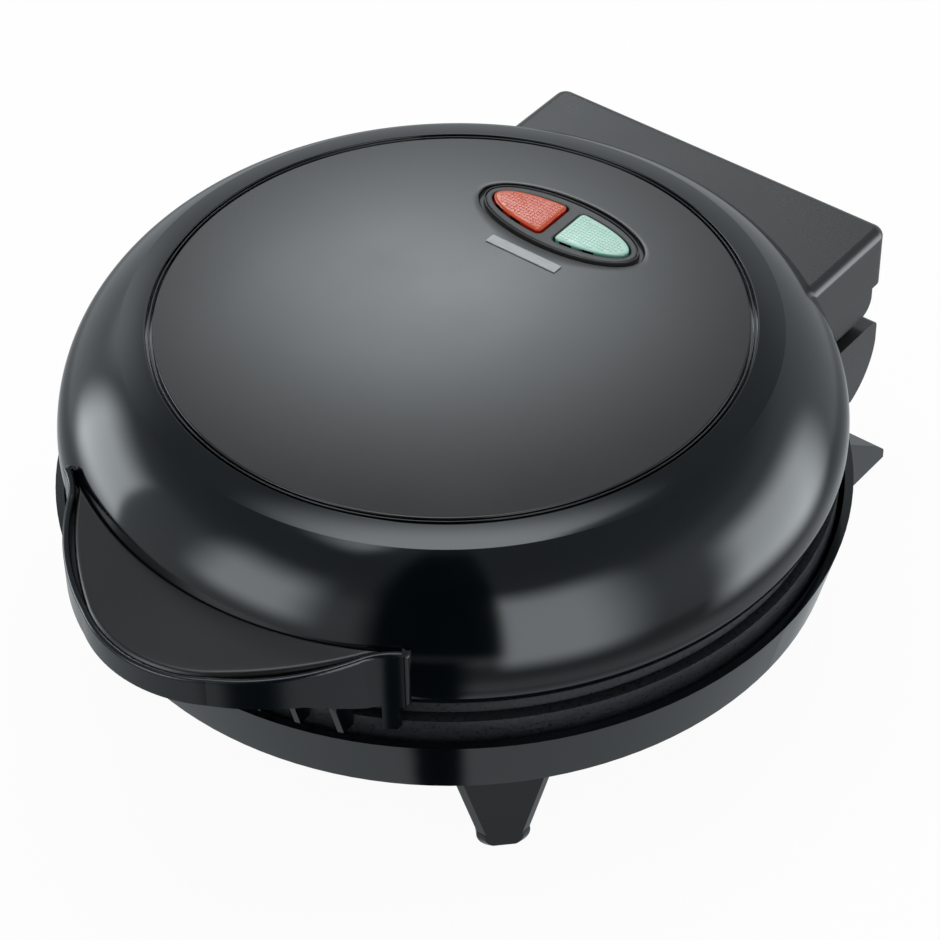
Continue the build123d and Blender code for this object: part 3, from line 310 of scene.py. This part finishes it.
def bowedPoints(start, end, bulge, steps):
    # shallow arc between two points, bulging to the right of the way from start to end
    across, rise = end[0] - start[0], end[1] - start[1]
    length = sqrt(across ** 2 + rise ** 2)
    points = []
    for k in range(1, steps + 1):
        t = k / steps
        lift = 4 * bulge * t * (1 - t)
        points.append((start[0] + across * t + lift * rise / length,
                       start[1] + rise * t - lift * across / length))
    return points


def circleRing(mesh, radius, height):
    return [mesh.verts.new((radius * cos(2 * pi * k / turnedSides) * mm,
                            radius * sin(2 * pi * k / turnedSides) * mm, height * mm))
            for k in range(turnedSides)]


def towardHole(k, radius, holeSize, share):
    # point between the oval hole (share 0) and a circle (share 1), along a ray from the hole's middle
    x, y = radius * cos(2 * pi * k / turnedSides), radius * sin(2 * pi * k / turnedSides)
    dx, dy = x, y - discShape["holeMiddle"]
    far = sqrt(dx ** 2 + dy ** 2)
    ux, uy = dx / far, dy / far
    near = 1 / sqrt((ux / holeSize[0]) ** 2 + (uy / holeSize[1]) ** 2)
    reach = near + (far - near) * share
    return ux * reach, discShape["holeMiddle"] + uy * reach


def holeRing(mesh, radius, holeSize, share, heightAt):
    ring = []
    for k in range(turnedSides):
        x, y = towardHole(k, radius, holeSize, share)
        ring.append(mesh.verts.new((x * mm, y * mm, heightAt(sqrt(x ** 2 + y ** 2)) * mm)))
    return ring


def joinRings(mesh, rings, closed=True):
    pairs = list(zip(rings, rings[1:]))
    if closed:
        pairs.append((rings[-1], rings[0]))
    for first, second in pairs:
        count = len(first)
        for k in range(count):
            after = (k + 1) % count
            mesh.faces.new((first[k], first[after], second[after], second[k]))


def finishPiece(mesh, name, material, sharpAngle=9.5):
    bmesh.ops.recalc_face_normals(mesh, faces=mesh.faces[:])
    data = bpy.data.meshes.new(name)
    mesh.to_mesh(data)
    mesh.free()
    for face in data.polygons:
        face.use_smooth = True
    data.set_sharp_from_angle(angle=radians(sharpAngle))
    data.materials.append(material)
    return linkObject(name, data)


def buildShell():
    shape = shellShape
    mesh = bmesh.new()
    low, high = shape["lowArc"], shape["highArc"]
    # the outline starts inside the lower edge and runs over the top to the channel
    foot = shape["edge"]
    cut = shape["edgeRound"]
    outline = [(foot[0] - shape["wall"], foot[1]), (foot[0] - cut, foot[1])]
    outline += arcPoints((foot[0] - cut, foot[1] + cut), cut, -82, -48, 4)
    outline += arcPoints(low["middle"], low["radius"], low["start"], 0, low["steps"])
    outline += arcPoints(high["middle"], high["radius"], 0, high["end"], high["steps"])[1:]
    outline += bowedPoints(shape["shoulder"], shape["crease"], shape["browBulge"], 8)
    outline += bowedPoints(shape["crease"], (shape["channel"][0] + 0.45, shape["channel"][1] - 0.09),
                           shape["ringBulge"], 10)
    lip = shape["lipRound"]
    outline += arcPoints((shape["channel"][0] + lip, shape["channel"][1] - lip), lip, 101, 180, 10)[1:]
    rings = [circleRing(mesh, *point) for point in outline]
    # thin ridge that stands in the channel, close to the disc
    ridge = shape["ridge"]
    half = (ridge["outer"] - ridge["inner"]) / 2
    rings += [circleRing(mesh, shape["channel"][0], shape["roofTop"]),
              circleRing(mesh, ridge["outer"], shape["roofTop"])]
    rings += [circleRing(mesh, ridge["inner"] + half + half * cos(radians(180 * k / 20)),
                         ridge["top"] - half + half * sin(radians(180 * k / 20))) for k in range(21)]
    rings.append(circleRing(mesh, ridge["inner"], shape["roofTop"]))
    for share in (0.66, 0.33, 0.0):
        rings.append(holeRing(mesh, shape["channel"][0], roofHole, share, lambda r: shape["roofTop"]))
    for share in (0.0, 0.33, 0.66, 1.0):
        rings.append(holeRing(mesh, shape["channel"][0], roofHole, share, lambda r: shape["roofLow"]))
    inner = arcPoints(high["middle"], high["radius"] - shape["wall"], high["end"], 0, 20)
    rings += [circleRing(mesh, *point) for point in inner]
    joinRings(mesh, rings)
    shell = finishPiece(mesh, "lidShell", paint["polished"])
    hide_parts("lid_shell")
    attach(shell, "lid")


def discHeight(radius):
    return discShape["edgeHeight"] + discShape["crown"] * (1 - (radius / discShape["radius"]) ** 2)


def buildDisc():
    shape = discShape
    mesh = bmesh.new()
    hole, rim = shape["holeRound"], shape["rimRound"]
    edge = shape["radius"]
    rings = [holeRing(mesh, edge, shape["holeSize"], 0, lambda r: shape["low"])]
    for k in range(9):
        turn = radians(90 * k / 8)
        out = hole * (1 - cos(turn))
        size = (shape["holeSize"][0] + out, shape["holeSize"][1] + out)
        drop = hole * (1 - sin(turn))
        rings.append(holeRing(mesh, edge - rim, size, 0, lambda r: discHeight(r) - drop))
    size = (shape["holeSize"][0] + hole, shape["holeSize"][1] + hole)
    for k in range(1, 25):
        rings.append(holeRing(mesh, edge - rim, size, k / 24, discHeight))
    for k in range(1, 11):
        turn = radians(90 * k / 10)
        rings.append(circleRing(mesh, edge - rim + rim * sin(turn),
                                discHeight(edge) - rim * (1 - cos(turn)) * 0.97))
    rings.append(circleRing(mesh, edge, shape["low"]))
    for share in (0.66, 0.33):
        rings.append(holeRing(mesh, edge, shape["holeSize"], share, lambda r: shape["low"]))
    joinRings(mesh, rings)
    disc = finishPiece(mesh, "topDisc", paint["disc"])
    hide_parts("lid_top_panel")
    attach(disc, "lid")


def ovalRing(mesh, inset, height, sides=160):
    a, b = frameShape["size"][0] - inset, frameShape["size"][1] - inset
    return [mesh.verts.new((a * cos(2 * pi * k / sides) * mm,
                            (discShape["holeMiddle"] + b * sin(2 * pi * k / sides)) * mm, height * mm))
            for k in range(sides)]


def halfOval(side, size, barHalf, corner, steps=44):
    # outline of one lens opening, from the bar's foot round to its head; side is -1 or 1
    a, b = size
    start = barHalf + corner
    turn = sqrt(1 - (start / a) ** 2)
    cornerY = b * turn - corner
    points = [(barHalf, -cornerY), (barHalf, 0), (barHalf, cornerY)]
    for k in range(1, 9):
        angle = radians(180 - 90 * k / 8)
        points.append((start + corner * cos(angle), cornerY + corner * sin(angle)))
    first = Vector((start / a, turn)).angle_signed(Vector((1, 0)))
    for k in range(1, steps):
        angle = first * (1 - 2 * k / steps)
        points.append((a * cos(angle), b * sin(angle)))
    for k in range(8):
        angle = radians(-90 - 90 * k / 8)
        points.append((start + corner * cos(angle), -cornerY + corner * sin(angle)))
    return [(side * x, y) for x, y in points]


def plateFromOutlines(outlines, low, top, rounding):
    # flat plate with rounded edges; the first outline is its rim and the others are openings
    curve = bpy.data.curves.new("platePlan", "CURVE")
    curve.dimensions = "2D"
    curve.fill_mode = "BOTH"
    curve.extrude = ((top - low) / 2 - rounding) * mm
    curve.bevel_depth = rounding * mm
    curve.bevel_resolution = 4
    curve.offset = -rounding * mm
    for outline in outlines:
        spline = curve.splines.new("POLY")
        spline.points.add(len(outline) - 1)
        for point, (x, y) in zip(spline.points, outline):
            point.co = (x * mm, y * mm, 0, 1)
        spline.use_cyclic_u = True
    holder = linkObject("platePlan", curve)
    bpy.context.view_layer.update()
    solid = bpy.data.meshes.new_from_object(holder.evaluated_get(bpy.context.evaluated_depsgraph_get()))
    bpy.data.objects.remove(holder)
    bpy.data.curves.remove(curve)
    for vertex in solid.vertices:
        vertex.co.z += (low + top) / 2 * mm
        vertex.co.y += discShape["holeMiddle"] * mm
    return solid


def buildFrame():
    shape = frameShape
    mesh = bmesh.new()
    ridgeIn, ridgeOut = shape["ridge"]
    half = (ridgeOut - ridgeIn) / 2
    profile = [(0.0, shape["low"]), (0.0, shape["grooveFloor"] + 0.8), (0.1, shape["grooveFloor"]),
               (ridgeIn - 0.1, shape["grooveFloor"]), (ridgeIn, shape["grooveFloor"] + 0.2)]
    profile += [(ridgeIn + half - half * cos(radians(180 * k / 8)),
                 shape["ridgeTop"] - half + half * sin(radians(180 * k / 8))) for k in range(9)]
    profile += [(ridgeOut, shape["lineFloor"]), (shape["plateIn"] + 0.5, shape["lineFloor"]),
                (shape["plateIn"] + 0.5, shape["low"])]
    joinRings(mesh, [ovalRing(mesh, *point) for point in profile])
    a, b = shape["size"][0] - shape["plateIn"], shape["size"][1] - shape["plateIn"]
    rim = [(a * cos(2 * pi * k / 160), b * sin(2 * pi * k / 160)) for k in range(160)]
    openings = [halfOval(side, shape["opening"], shape["barHalf"], shape["cornerRound"]) for side in (-1, 1)]
    plate = plateFromOutlines([rim] + openings, shape["plateLow"], shape["plateTop"], shape["plateRound"])
    well = []
    for side in (-1, 1):
        outline = halfOval(side, shape["opening"], shape["barHalf"], shape["cornerRound"])
        well.append([mesh.verts.new((x * mm, (y + discShape["holeMiddle"]) * mm, (shape["low"] - 0.05) * mm))
                     for x, y in outline])
    for ring in well:
        upper = [mesh.verts.new(vertex.co + Vector((0, 0, 1.5 * mm))) for vertex in ring]
        joinRings(mesh, [ring, upper], closed=False)
        mesh.faces.new(ring)
    bmesh.ops.recalc_face_normals(mesh, faces=mesh.faces[:])
    mesh.from_mesh(plate)
    bpy.data.meshes.remove(plate)
    data = bpy.data.meshes.new("indicatorFrame")
    mesh.to_mesh(data)
    mesh.free()
    for face in data.polygons:
        face.use_smooth = True
    data.set_sharp_from_angle(angle=radians(24))
    data.materials.append(paint["frame"])
    frameItem = linkObject("indicatorFrame", data)
    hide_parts("indicator_bezel")
    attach(frameItem, "lid")


def insetOutline(outline, distance):
    # moves every point inwards along the outline's own normal
    count = len(outline)
    area = sum(outline[k][0] * outline[(k + 1) % count][1] - outline[(k + 1) % count][0] * outline[k][1]
               for k in range(count))
    way = 1 if area > 0 else -1
    moved = []
    for k in range(count):
        before, after = outline[k - 1], outline[(k + 1) % count]
        dx, dy = after[0] - before[0], after[1] - before[1]
        length = sqrt(dx ** 2 + dy ** 2)
        moved.append((outline[k][0] - way * dy / length * distance,
                      outline[k][1] + way * dx / length * distance))
    return moved


def addPad(mesh, x, y):
    # one low raised pad of the lens's top
    shape = lensShape
    corners = ((-1, -1), (1, -1), (1, 1), (-1, 1))
    low = [mesh.verts.new(((x + i * shape["padBase"] / 2) * mm,
                           (y + j * shape["padBase"] / 2 + discShape["holeMiddle"]) * mm,
                           (shape["top"] - 0.02) * mm)) for i, j in corners]
    high = [mesh.verts.new(((x + i * shape["padTop"] / 2) * mm,
                            (y + j * shape["padTop"] / 2 + discShape["holeMiddle"]) * mm,
                            (shape["top"] + shape["padHeight"]) * mm)) for i, j in corners]
    joinRings(mesh, [low, high], closed=False)
    mesh.faces.new(high)
    mesh.faces.new(low[::-1])


def buildLens(key, side, node):
    shape = lensShape
    mesh = bmesh.new()
    plan = frameShape
    outline = halfOval(side, (plan["opening"][0] - shape["gap"], plan["opening"][1] - shape["gap"]),
                       plan["barHalf"] + shape["gap"], plan["cornerRound"] - shape["gap"] / 2, 96)
    inner = insetOutline(outline, shape["notchDepth"])
    notched = [y < -1 and any(low < x < high for low, high in shape["notches"][key]) for x, y in outline]

    def ring(points, height, recess=False):
        row = []
        for k, (x, y) in enumerate(points):
            if recess and notched[k]:
                x, y = inner[k]
            row.append(mesh.verts.new((x * mm, (y + discShape["holeMiddle"]) * mm, height * mm)))
        return row

    wallTop = shape["top"] - shape["notchTop"]
    rings = [ring(outline, shape["low"], True), ring(outline, wallTop, True), ring(outline, wallTop + 0.02)]
    bevel = shape["bevel"]
    for k in range(1, 9):
        turn = radians(90 * k / 8)
        rings.append(ring(insetOutline(outline, bevel * (1 - cos(turn))),
                          wallTop + 0.02 + (shape["top"] - wallTop - 0.02) * sin(turn)))
    joinRings(mesh, rings, closed=False)
    mesh.faces.new(rings[0])
    mesh.faces.new(rings[-1])
    a = plan["opening"][0] - shape["gap"] - shape["padInset"] - shape["padBase"] / 2
    b = plan["opening"][1] - shape["gap"] - shape["padInset"] - shape["padBase"] / 2
    start = plan["barHalf"] + shape["gap"] + shape["padInset"] + shape["padBase"] / 2
    columns = int((a - start) / shape["padPitch"]) + 1
    rows = int(b / shape["padPitch"])
    for column in range(columns):
        for row in range(-rows, rows + 1):
            x, y = start + column * shape["padPitch"], row * shape["padPitch"]
            if ((x + 0.3) / a) ** 2 + (y / b) ** 2 < 1:
                addPad(mesh, side * x, y)
    bmesh.ops.recalc_face_normals(mesh, faces=mesh.faces[:])
    lens = finishPiece(mesh, node + "Cap", paint[key], 24)
    # the recessed wall faces in the notches take the polished black: painted shade of the recess
    lens.data.materials.append(paint["polished"])
    for face in lens.data.polygons:
        spot = face.center / mm
        depth = spot.z < wallTop + 0.01 and spot.y < discShape["holeMiddle"] - 1
        if depth and any(low < spot.x < high for low, high in shape["notches"][key]):
            face.material_index = 1
    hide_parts(node)
    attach(lens, "lid")


def panelFront():
    # front outline of the handle's panel on the +X side, from the nose to the far end, as (x, y)
    shape = panelShape
    radius, middle = shape["noseRadius"] + shape["lap"], shape["nose"] + shape["noseRadius"]
    points = [(radius * sin(radians(shape["noseHalfAngle"] * k / 30)),
               middle - radius * cos(radians(shape["noseHalfAngle"] * k / 30))) for k in range(31)]
    start = points[-1]
    end = (shape["end"][0] + shape["lap"], shape["end"][1])
    return points + bowedPoints(start, end, shape["bulge"], 60)


def buildHandlePanel():
    # crescent with a rolled edge that laps over the wall's rim
    shape = panelShape
    front = panelFront()
    back = shape["backRadius"]
    tip = next(point[0] for point in front if sqrt(point[0] ** 2 + point[1] ** 2) < back + shape["tipGap"])

    def frontAt(x):
        for first, second in zip(front, front[1:]):
            if second[0] >= abs(x):
                share = (abs(x) - first[0]) / (second[0] - first[0])
                slope = (second[1] - first[1]) / (second[0] - first[0])
                return first[1] + (second[1] - first[1]) * share, slope
        return front[-1][1], 1.0

    depths = [0, 0.03, 0.1, 0.21, 0.36, 0.54, 0.75, 0.98, 1.22, shape["roll"]]
    mesh = bmesh.new()
    columns = []
    for k in range(shape["columns"] + 1):
        x = tip * sin(pi / 2 * (2 * k / shape["columns"] - 1) * shape["tipStop"])
        nearY, nearSlope = frontAt(x)
        farY = -sqrt(back ** 2 - x ** 2)
        farSlope = x / sqrt(back ** 2 - x ** 2)
        nearScale, farScale = sqrt(1 + nearSlope ** 2), sqrt(1 + farSlope ** 2)
        share = shape["backShare"]
        rollSpace = shape["roll"] * (nearScale + farScale * share)
        fit = min(1, (farY - nearY) * shape["rollFill"] / rollSpace)
        places = [(nearY + d * fit * nearScale, d * fit, 1) for d in depths]
        last = [(farY - d * fit * farScale * share, d * fit, share) for d in depths][::-1]
        gap = last[0][0] - places[-1][0]
        between = [(places[-1][0] + gap * j / 8, depths[-1] * fit, 1) for j in range(1, 8)]
        column = []
        for y, depth, size in places + between + last:
            drop = shape["roll"] - sqrt(max(0, shape["roll"] ** 2 - (shape["roll"] - depth) ** 2))
            # near a tip the two rolls meet, so both keep the drop of the front one
            size = 1 - (1 - size) * max(0, fit * 2 - 1)
            height = shape["topAtNose"] + shape["slope"] * (y - shape["nose"]) - drop * size
            column.append((x, y, height))
        columns.append(column)
    rows = [[mesh.verts.new((x * mm, y * mm, z * mm)) for x, y, z in column] for column in columns]
    low = []
    for column in columns:
        x, nearY, farY = column[0][0], column[0][1], column[-1][1]
        base = shape["topAtNose"] - shape["thick"]
        low.append([mesh.verts.new((x * mm, y * mm, (base + shape["slope"] * (y - shape["nose"])) * mm))
                    for y in (nearY, farY)])
    for k in range(len(rows) - 1):
        for j in range(len(rows[k]) - 1):
            mesh.faces.new((rows[k][j], rows[k + 1][j], rows[k + 1][j + 1], rows[k][j + 1]))
        mesh.faces.new((low[k][0], low[k + 1][0], rows[k + 1][0], rows[k][0]))
        mesh.faces.new((rows[k][-1], rows[k + 1][-1], low[k + 1][1], low[k][1]))
        mesh.faces.new((low[k][1], low[k + 1][1], low[k + 1][0], low[k][0]))
    mesh.faces.new([low[0][0]] + rows[0] + [low[0][1]])
    mesh.faces.new([low[-1][1]] + rows[-1][::-1] + [low[-1][0]])
    panel = finishPiece(mesh, "handlePanel", paint["matt"], 40)
    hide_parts("handle_top_panel")
    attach(panel, "lid")


buildShell()
buildDisc()
buildHandlePanel()
buildFrame()
buildLens("red", -1, "red_lens")
buildLens("green", 1, "green_lens")

print("stage: floor, light and camera")

studio = {
    "floorSize": 6.0,
    "floorColor": (0.86, 0.86, 0.86),
    "floorGlow": 0.95,
    "domeStrength": 0.55,
    "overhead": dict(place=(-0.35, 0.45, 1.5), aim=(0, 0, 0.08), size=(1.4, 1.1), power=12),
}
# what the gloss sees in place of the pale background, by direction from the object: turn from the
# front towards +X and rise above the level, in degrees, each with its soft width
backdrop = {
    "levels": [(-90, 0.60), (-60, 0.46), (-52, 0.42), (-43, 0.62), (-34, 0.38), (-26, 0.30),
               (-16, 0.62), (22, 0.72), (42, 0.35), (90, 0.33)],
    "darkShare": 0.985,
    "tint": (0.90, 0.965, 1.0),
    "darkSides": [dict(turn=(15, 50), turnSoft=(5, 2), rise=(-12, 80), riseSoft=(6, 8)),
                  dict(turn=(14, 41), turnSoft=(4, 4), rise=(-91, -12), riseSoft=(1, 6))],
    "lights": [
        dict(strength=4.2, turn=(-88, -60), turnSoft=(6, 1.5), rise=(-12, 22), riseSoft=(8, 10)),
        dict(strength=3.4, turn=(-32, -2), turnSoft=(8, 8), rise=(3, 36), riseSoft=(8, 12)),
        dict(strength=3.0, turn=(50, 82), turnSoft=(3, 12), rise=(-22, 37), riseSoft=(9, 8)),
        dict(strength=4.2, turn=(113, 152), turnSoft=(8, 10), rise=(-27, 14), riseSoft=(8, 10)),
        dict(strength=4.2, turn=(-181, -92), turnSoft=(1, 10), rise=(66, 91), riseSoft=(9, 1)),
        dict(strength=2.6, turn=(-92, -12), turnSoft=(10, 10), rise=(68, 91), riseSoft=(5, 1)),
        dict(strength=0.9, turn=(-118, -98), turnSoft=(8, 8), rise=(14, 38), riseSoft=(8, 10)),
    ],
    "discGlow": dict(turn=-140.5, rise=38.3, strength=7.5, wide=6.0, tall=3.0),
}


def betweenSoft(owner, value, limits, soft):
    # one inside the limits, falling to nothing over the soft widths on either side
    rising = addNode(owner, "ShaderNodeMapRange", {
        "From Min": limits[0] - soft[0], "From Max": limits[0] + soft[0]}, interpolation_type="SMOOTHSTEP")
    falling = addNode(owner, "ShaderNodeMapRange", {
        "From Min": limits[1] - soft[1], "From Max": limits[1] + soft[1], "To Min": 1.0, "To Max": 0.0},
        interpolation_type="SMOOTHSTEP")
    wire(owner, value, rising.inputs["Value"])
    wire(owner, value, falling.inputs["Value"])
    return combine(owner, "MULTIPLY", rising.outputs["Result"], falling.outputs["Result"])


def combine(owner, operation, first, second=None):
    node = addNode(owner, "ShaderNodeMath", operation=operation)
    for index, source in enumerate((first, second)):
        if isinstance(source, (int, float)):
            node.inputs[index].default_value = source
        elif source:
            wire(owner, source, node.inputs[index])
    return node.outputs[0]


def turnAndRise(owner, vector):
    # degrees round from the front and degrees above the level
    split = addNode(owner, "ShaderNodeSeparateXYZ")
    wire(owner, vector, split.inputs["Vector"])
    forward = combine(owner, "MULTIPLY", split.outputs["Y"], -1.0)
    turn = combine(owner, "ARCTAN2", split.outputs["X"], forward)
    rise = combine(owner, "ARCSINE", split.outputs["Z"])
    return (combine(owner, "MULTIPLY", turn, 180 / pi), combine(owner, "MULTIPLY", rise, 180 / pi))


def insidePatch(owner, turn, rise, patch):
    return combine(owner, "MULTIPLY", betweenSoft(owner, turn, patch["turn"], patch["turnSoft"]),
                   betweenSoft(owner, rise, patch["rise"], patch["riseSoft"]))


def studioLook(owner, vector):
    # strength of what the gloss sees in a direction
    turn, rise = turnAndRise(owner, vector)
    curve = addNode(owner, "ShaderNodeFloatCurve")
    points = [((rise + 90) / 180, strength / 2) for rise, strength in backdrop["levels"]]
    line = curve.mapping.curves[0]
    for place, height in points[1:-1]:
        line.points.new(place, height)
    line.points[0].location = points[0]
    line.points[len(line.points) - 1].location = points[-1]
    curve.mapping.update()
    wire(owner, combine(owner, "DIVIDE", combine(owner, "ADD", rise, 90.0), 180.0), curve.inputs["Value"])
    total = combine(owner, "MULTIPLY", curve.outputs["Value"], 2.0)
    for light in backdrop["lights"]:
        inside = insidePatch(owner, turn, rise, light)
        total = combine(owner, "ADD", total, combine(owner, "MULTIPLY", inside, light["strength"]))
    # soft bright patch that lies behind the satin disc's lighter middle
    glow = backdrop["discGlow"]
    power = 0.0
    for source, middle, width in ((turn, glow["turn"], glow["wide"]), (rise, glow["rise"], glow["tall"])):
        away = combine(owner, "MULTIPLY", combine(owner, "SUBTRACT", source, middle), 1 / width)
        power = combine(owner, "ADD", combine(owner, "MULTIPLY", away, away), power)
    spot = combine(owner, "EXPONENT", combine(owner, "MULTIPLY", power, -1.0))
    total = combine(owner, "ADD", total, combine(owner, "MULTIPLY", spot, glow["strength"]))
    for dark in backdrop["darkSides"]:
        inside = insidePatch(owner, turn, rise, dark)
        kept = combine(owner, "SUBTRACT", 1.0, combine(owner, "MULTIPLY", inside, backdrop["darkShare"]))
        total = combine(owner, "MULTIPLY", total, kept)
    return total


def buildFloor():
    half = studio["floorSize"] / 2
    mesh = bpy.data.meshes.new("studioFloor")
    mesh.from_pydata([(-half, -half, 0), (half, -half, 0), (half, half, 0), (-half, half, 0)], [],
                     [(0, 1, 2, 3)])
    floor = linkObject("studioFloor", mesh)
    material, shader = startMaterial("paleFloor", studio["floorColor"], 0.9)
    shader.inputs["Specular IOR Level"].default_value = 0.1
    glow = addNode(material, "ShaderNodeEmission", {"Color": (1, 1, 1, 1), "Strength": 1.0})
    path = addNode(material, "ShaderNodeLightPath")
    seen = combine(material, "MAXIMUM", path.outputs["Is Camera Ray"], path.outputs["Is Transmission Ray"])
    share = combine(material, "MULTIPLY", seen, studio["floorGlow"])
    mix = addNode(material, "ShaderNodeMixShader")
    output = material.node_tree.nodes["Material Output"]
    wire(material, share, mix.inputs["Fac"])
    wire(material, shader.outputs["BSDF"], mix.inputs[1])
    wire(material, glow.outputs["Emission"], mix.inputs[2])
    # in the gloss the floor carries on the look of the studio
    place = addNode(material, "ShaderNodeNewGeometry")
    onward = addNode(material, "ShaderNodeVectorMath", {"Scale": -1.0}, operation="SCALE")
    wire(material, place.outputs["Incoming"], onward.inputs[0])
    look = addNode(material, "ShaderNodeEmission", {"Color": (*backdrop["tint"], 1)})
    wire(material, studioLook(material, onward.outputs["Vector"]), look.inputs["Strength"])
    cover = addNode(material, "ShaderNodeMixShader")
    wire(material, path.outputs["Is Glossy Ray"], cover.inputs["Fac"])
    wire(material, mix.outputs["Shader"], cover.inputs[1])
    wire(material, look.outputs["Emission"], cover.inputs[2])
    wire(material, cover.outputs["Shader"], output.inputs["Surface"])
    mesh.materials.append(material)


def buildWorld():
    world = bpy.data.worlds.new("studioWorld")
    bpy.context.scene.world = world
    world.use_nodes = True
    world.cycles.sampling_method = "NONE"
    sky = world.node_tree.nodes["Background"]
    sky.inputs["Color"].default_value = (1, 1, 1, 1)
    sky.inputs["Strength"].default_value = studio["domeStrength"]
    place = addNode(world, "ShaderNodeTexCoord")
    studioSky = addNode(world, "ShaderNodeBackground", {"Color": (*backdrop["tint"], 1)})
    wire(world, studioLook(world, place.outputs["Generated"]), studioSky.inputs["Strength"])
    plain = addNode(world, "ShaderNodeBackground", {"Color": (1, 1, 1, 1), "Strength": 1.0})
    path = addNode(world, "ShaderNodeLightPath")
    glossMix = addNode(world, "ShaderNodeMixShader")
    wire(world, path.outputs["Is Glossy Ray"], glossMix.inputs["Fac"])
    wire(world, sky.outputs["Background"], glossMix.inputs[1])
    wire(world, studioSky.outputs["Background"], glossMix.inputs[2])
    seen = combine(world, "MAXIMUM", path.outputs["Is Camera Ray"], path.outputs["Is Transmission Ray"])
    mix = addNode(world, "ShaderNodeMixShader")
    wire(world, seen, mix.inputs["Fac"])
    wire(world, glossMix.outputs["Shader"], mix.inputs[1])
    wire(world, plain.outputs["Background"], mix.inputs[2])
    wire(world, mix.outputs["Shader"], world.node_tree.nodes["World Output"].inputs["Surface"])


def addSoftbox(name):
    values = studio[name]
    lamp = bpy.data.lights.new(name, "AREA")
    lamp.shape = "RECTANGLE"
    lamp.size, lamp.size_y = values["size"]
    lamp.energy = values["power"]
    box = linkObject(name, lamp)
    box.location = values["place"]
    box.visible_glossy = False
    toward = Vector(values["aim"]) - Vector(values["place"])
    box.rotation_mode = "QUATERNION"
    box.rotation_quaternion = toward.to_track_quat("-Z", "Y")


cameraValues = {
    "distance": 0.850,
    "azimuth": 38.53,
    "elevation": 41.96,
    "roll": -0.90,
    "aim": (0.03787, -0.04047, 0.0925),
    "focalPixels": 3240.4,
    "imagePixels": 940,
    "sensorWidth": 36,
}


def buildCamera():
    values = cameraValues
    data = bpy.data.cameras.new("photoCamera")
    data.sensor_width = values["sensorWidth"]
    data.lens = values["focalPixels"] / values["imagePixels"] * values["sensorWidth"]
    camera = linkObject("photoCamera", data)
    turn, rise = radians(values["azimuth"]), radians(values["elevation"])
    back = Vector((sin(turn) * cos(rise), -cos(turn) * cos(rise), sin(rise)))
    camera.location = Vector(values["aim"]) + back * values["distance"]
    camera.rotation_mode = "QUATERNION"
    look = (-back).to_track_quat("-Z", "Y")
    camera.rotation_quaternion = look @ Quaternion((0, 0, 1), radians(values["roll"]))
    bpy.context.scene.camera = camera


buildFloor()
buildWorld()
addSoftbox("overhead")
buildCamera()
bpy.context.scene.view_settings.view_transform = "Standard"

bpy.context.view_layer.update()
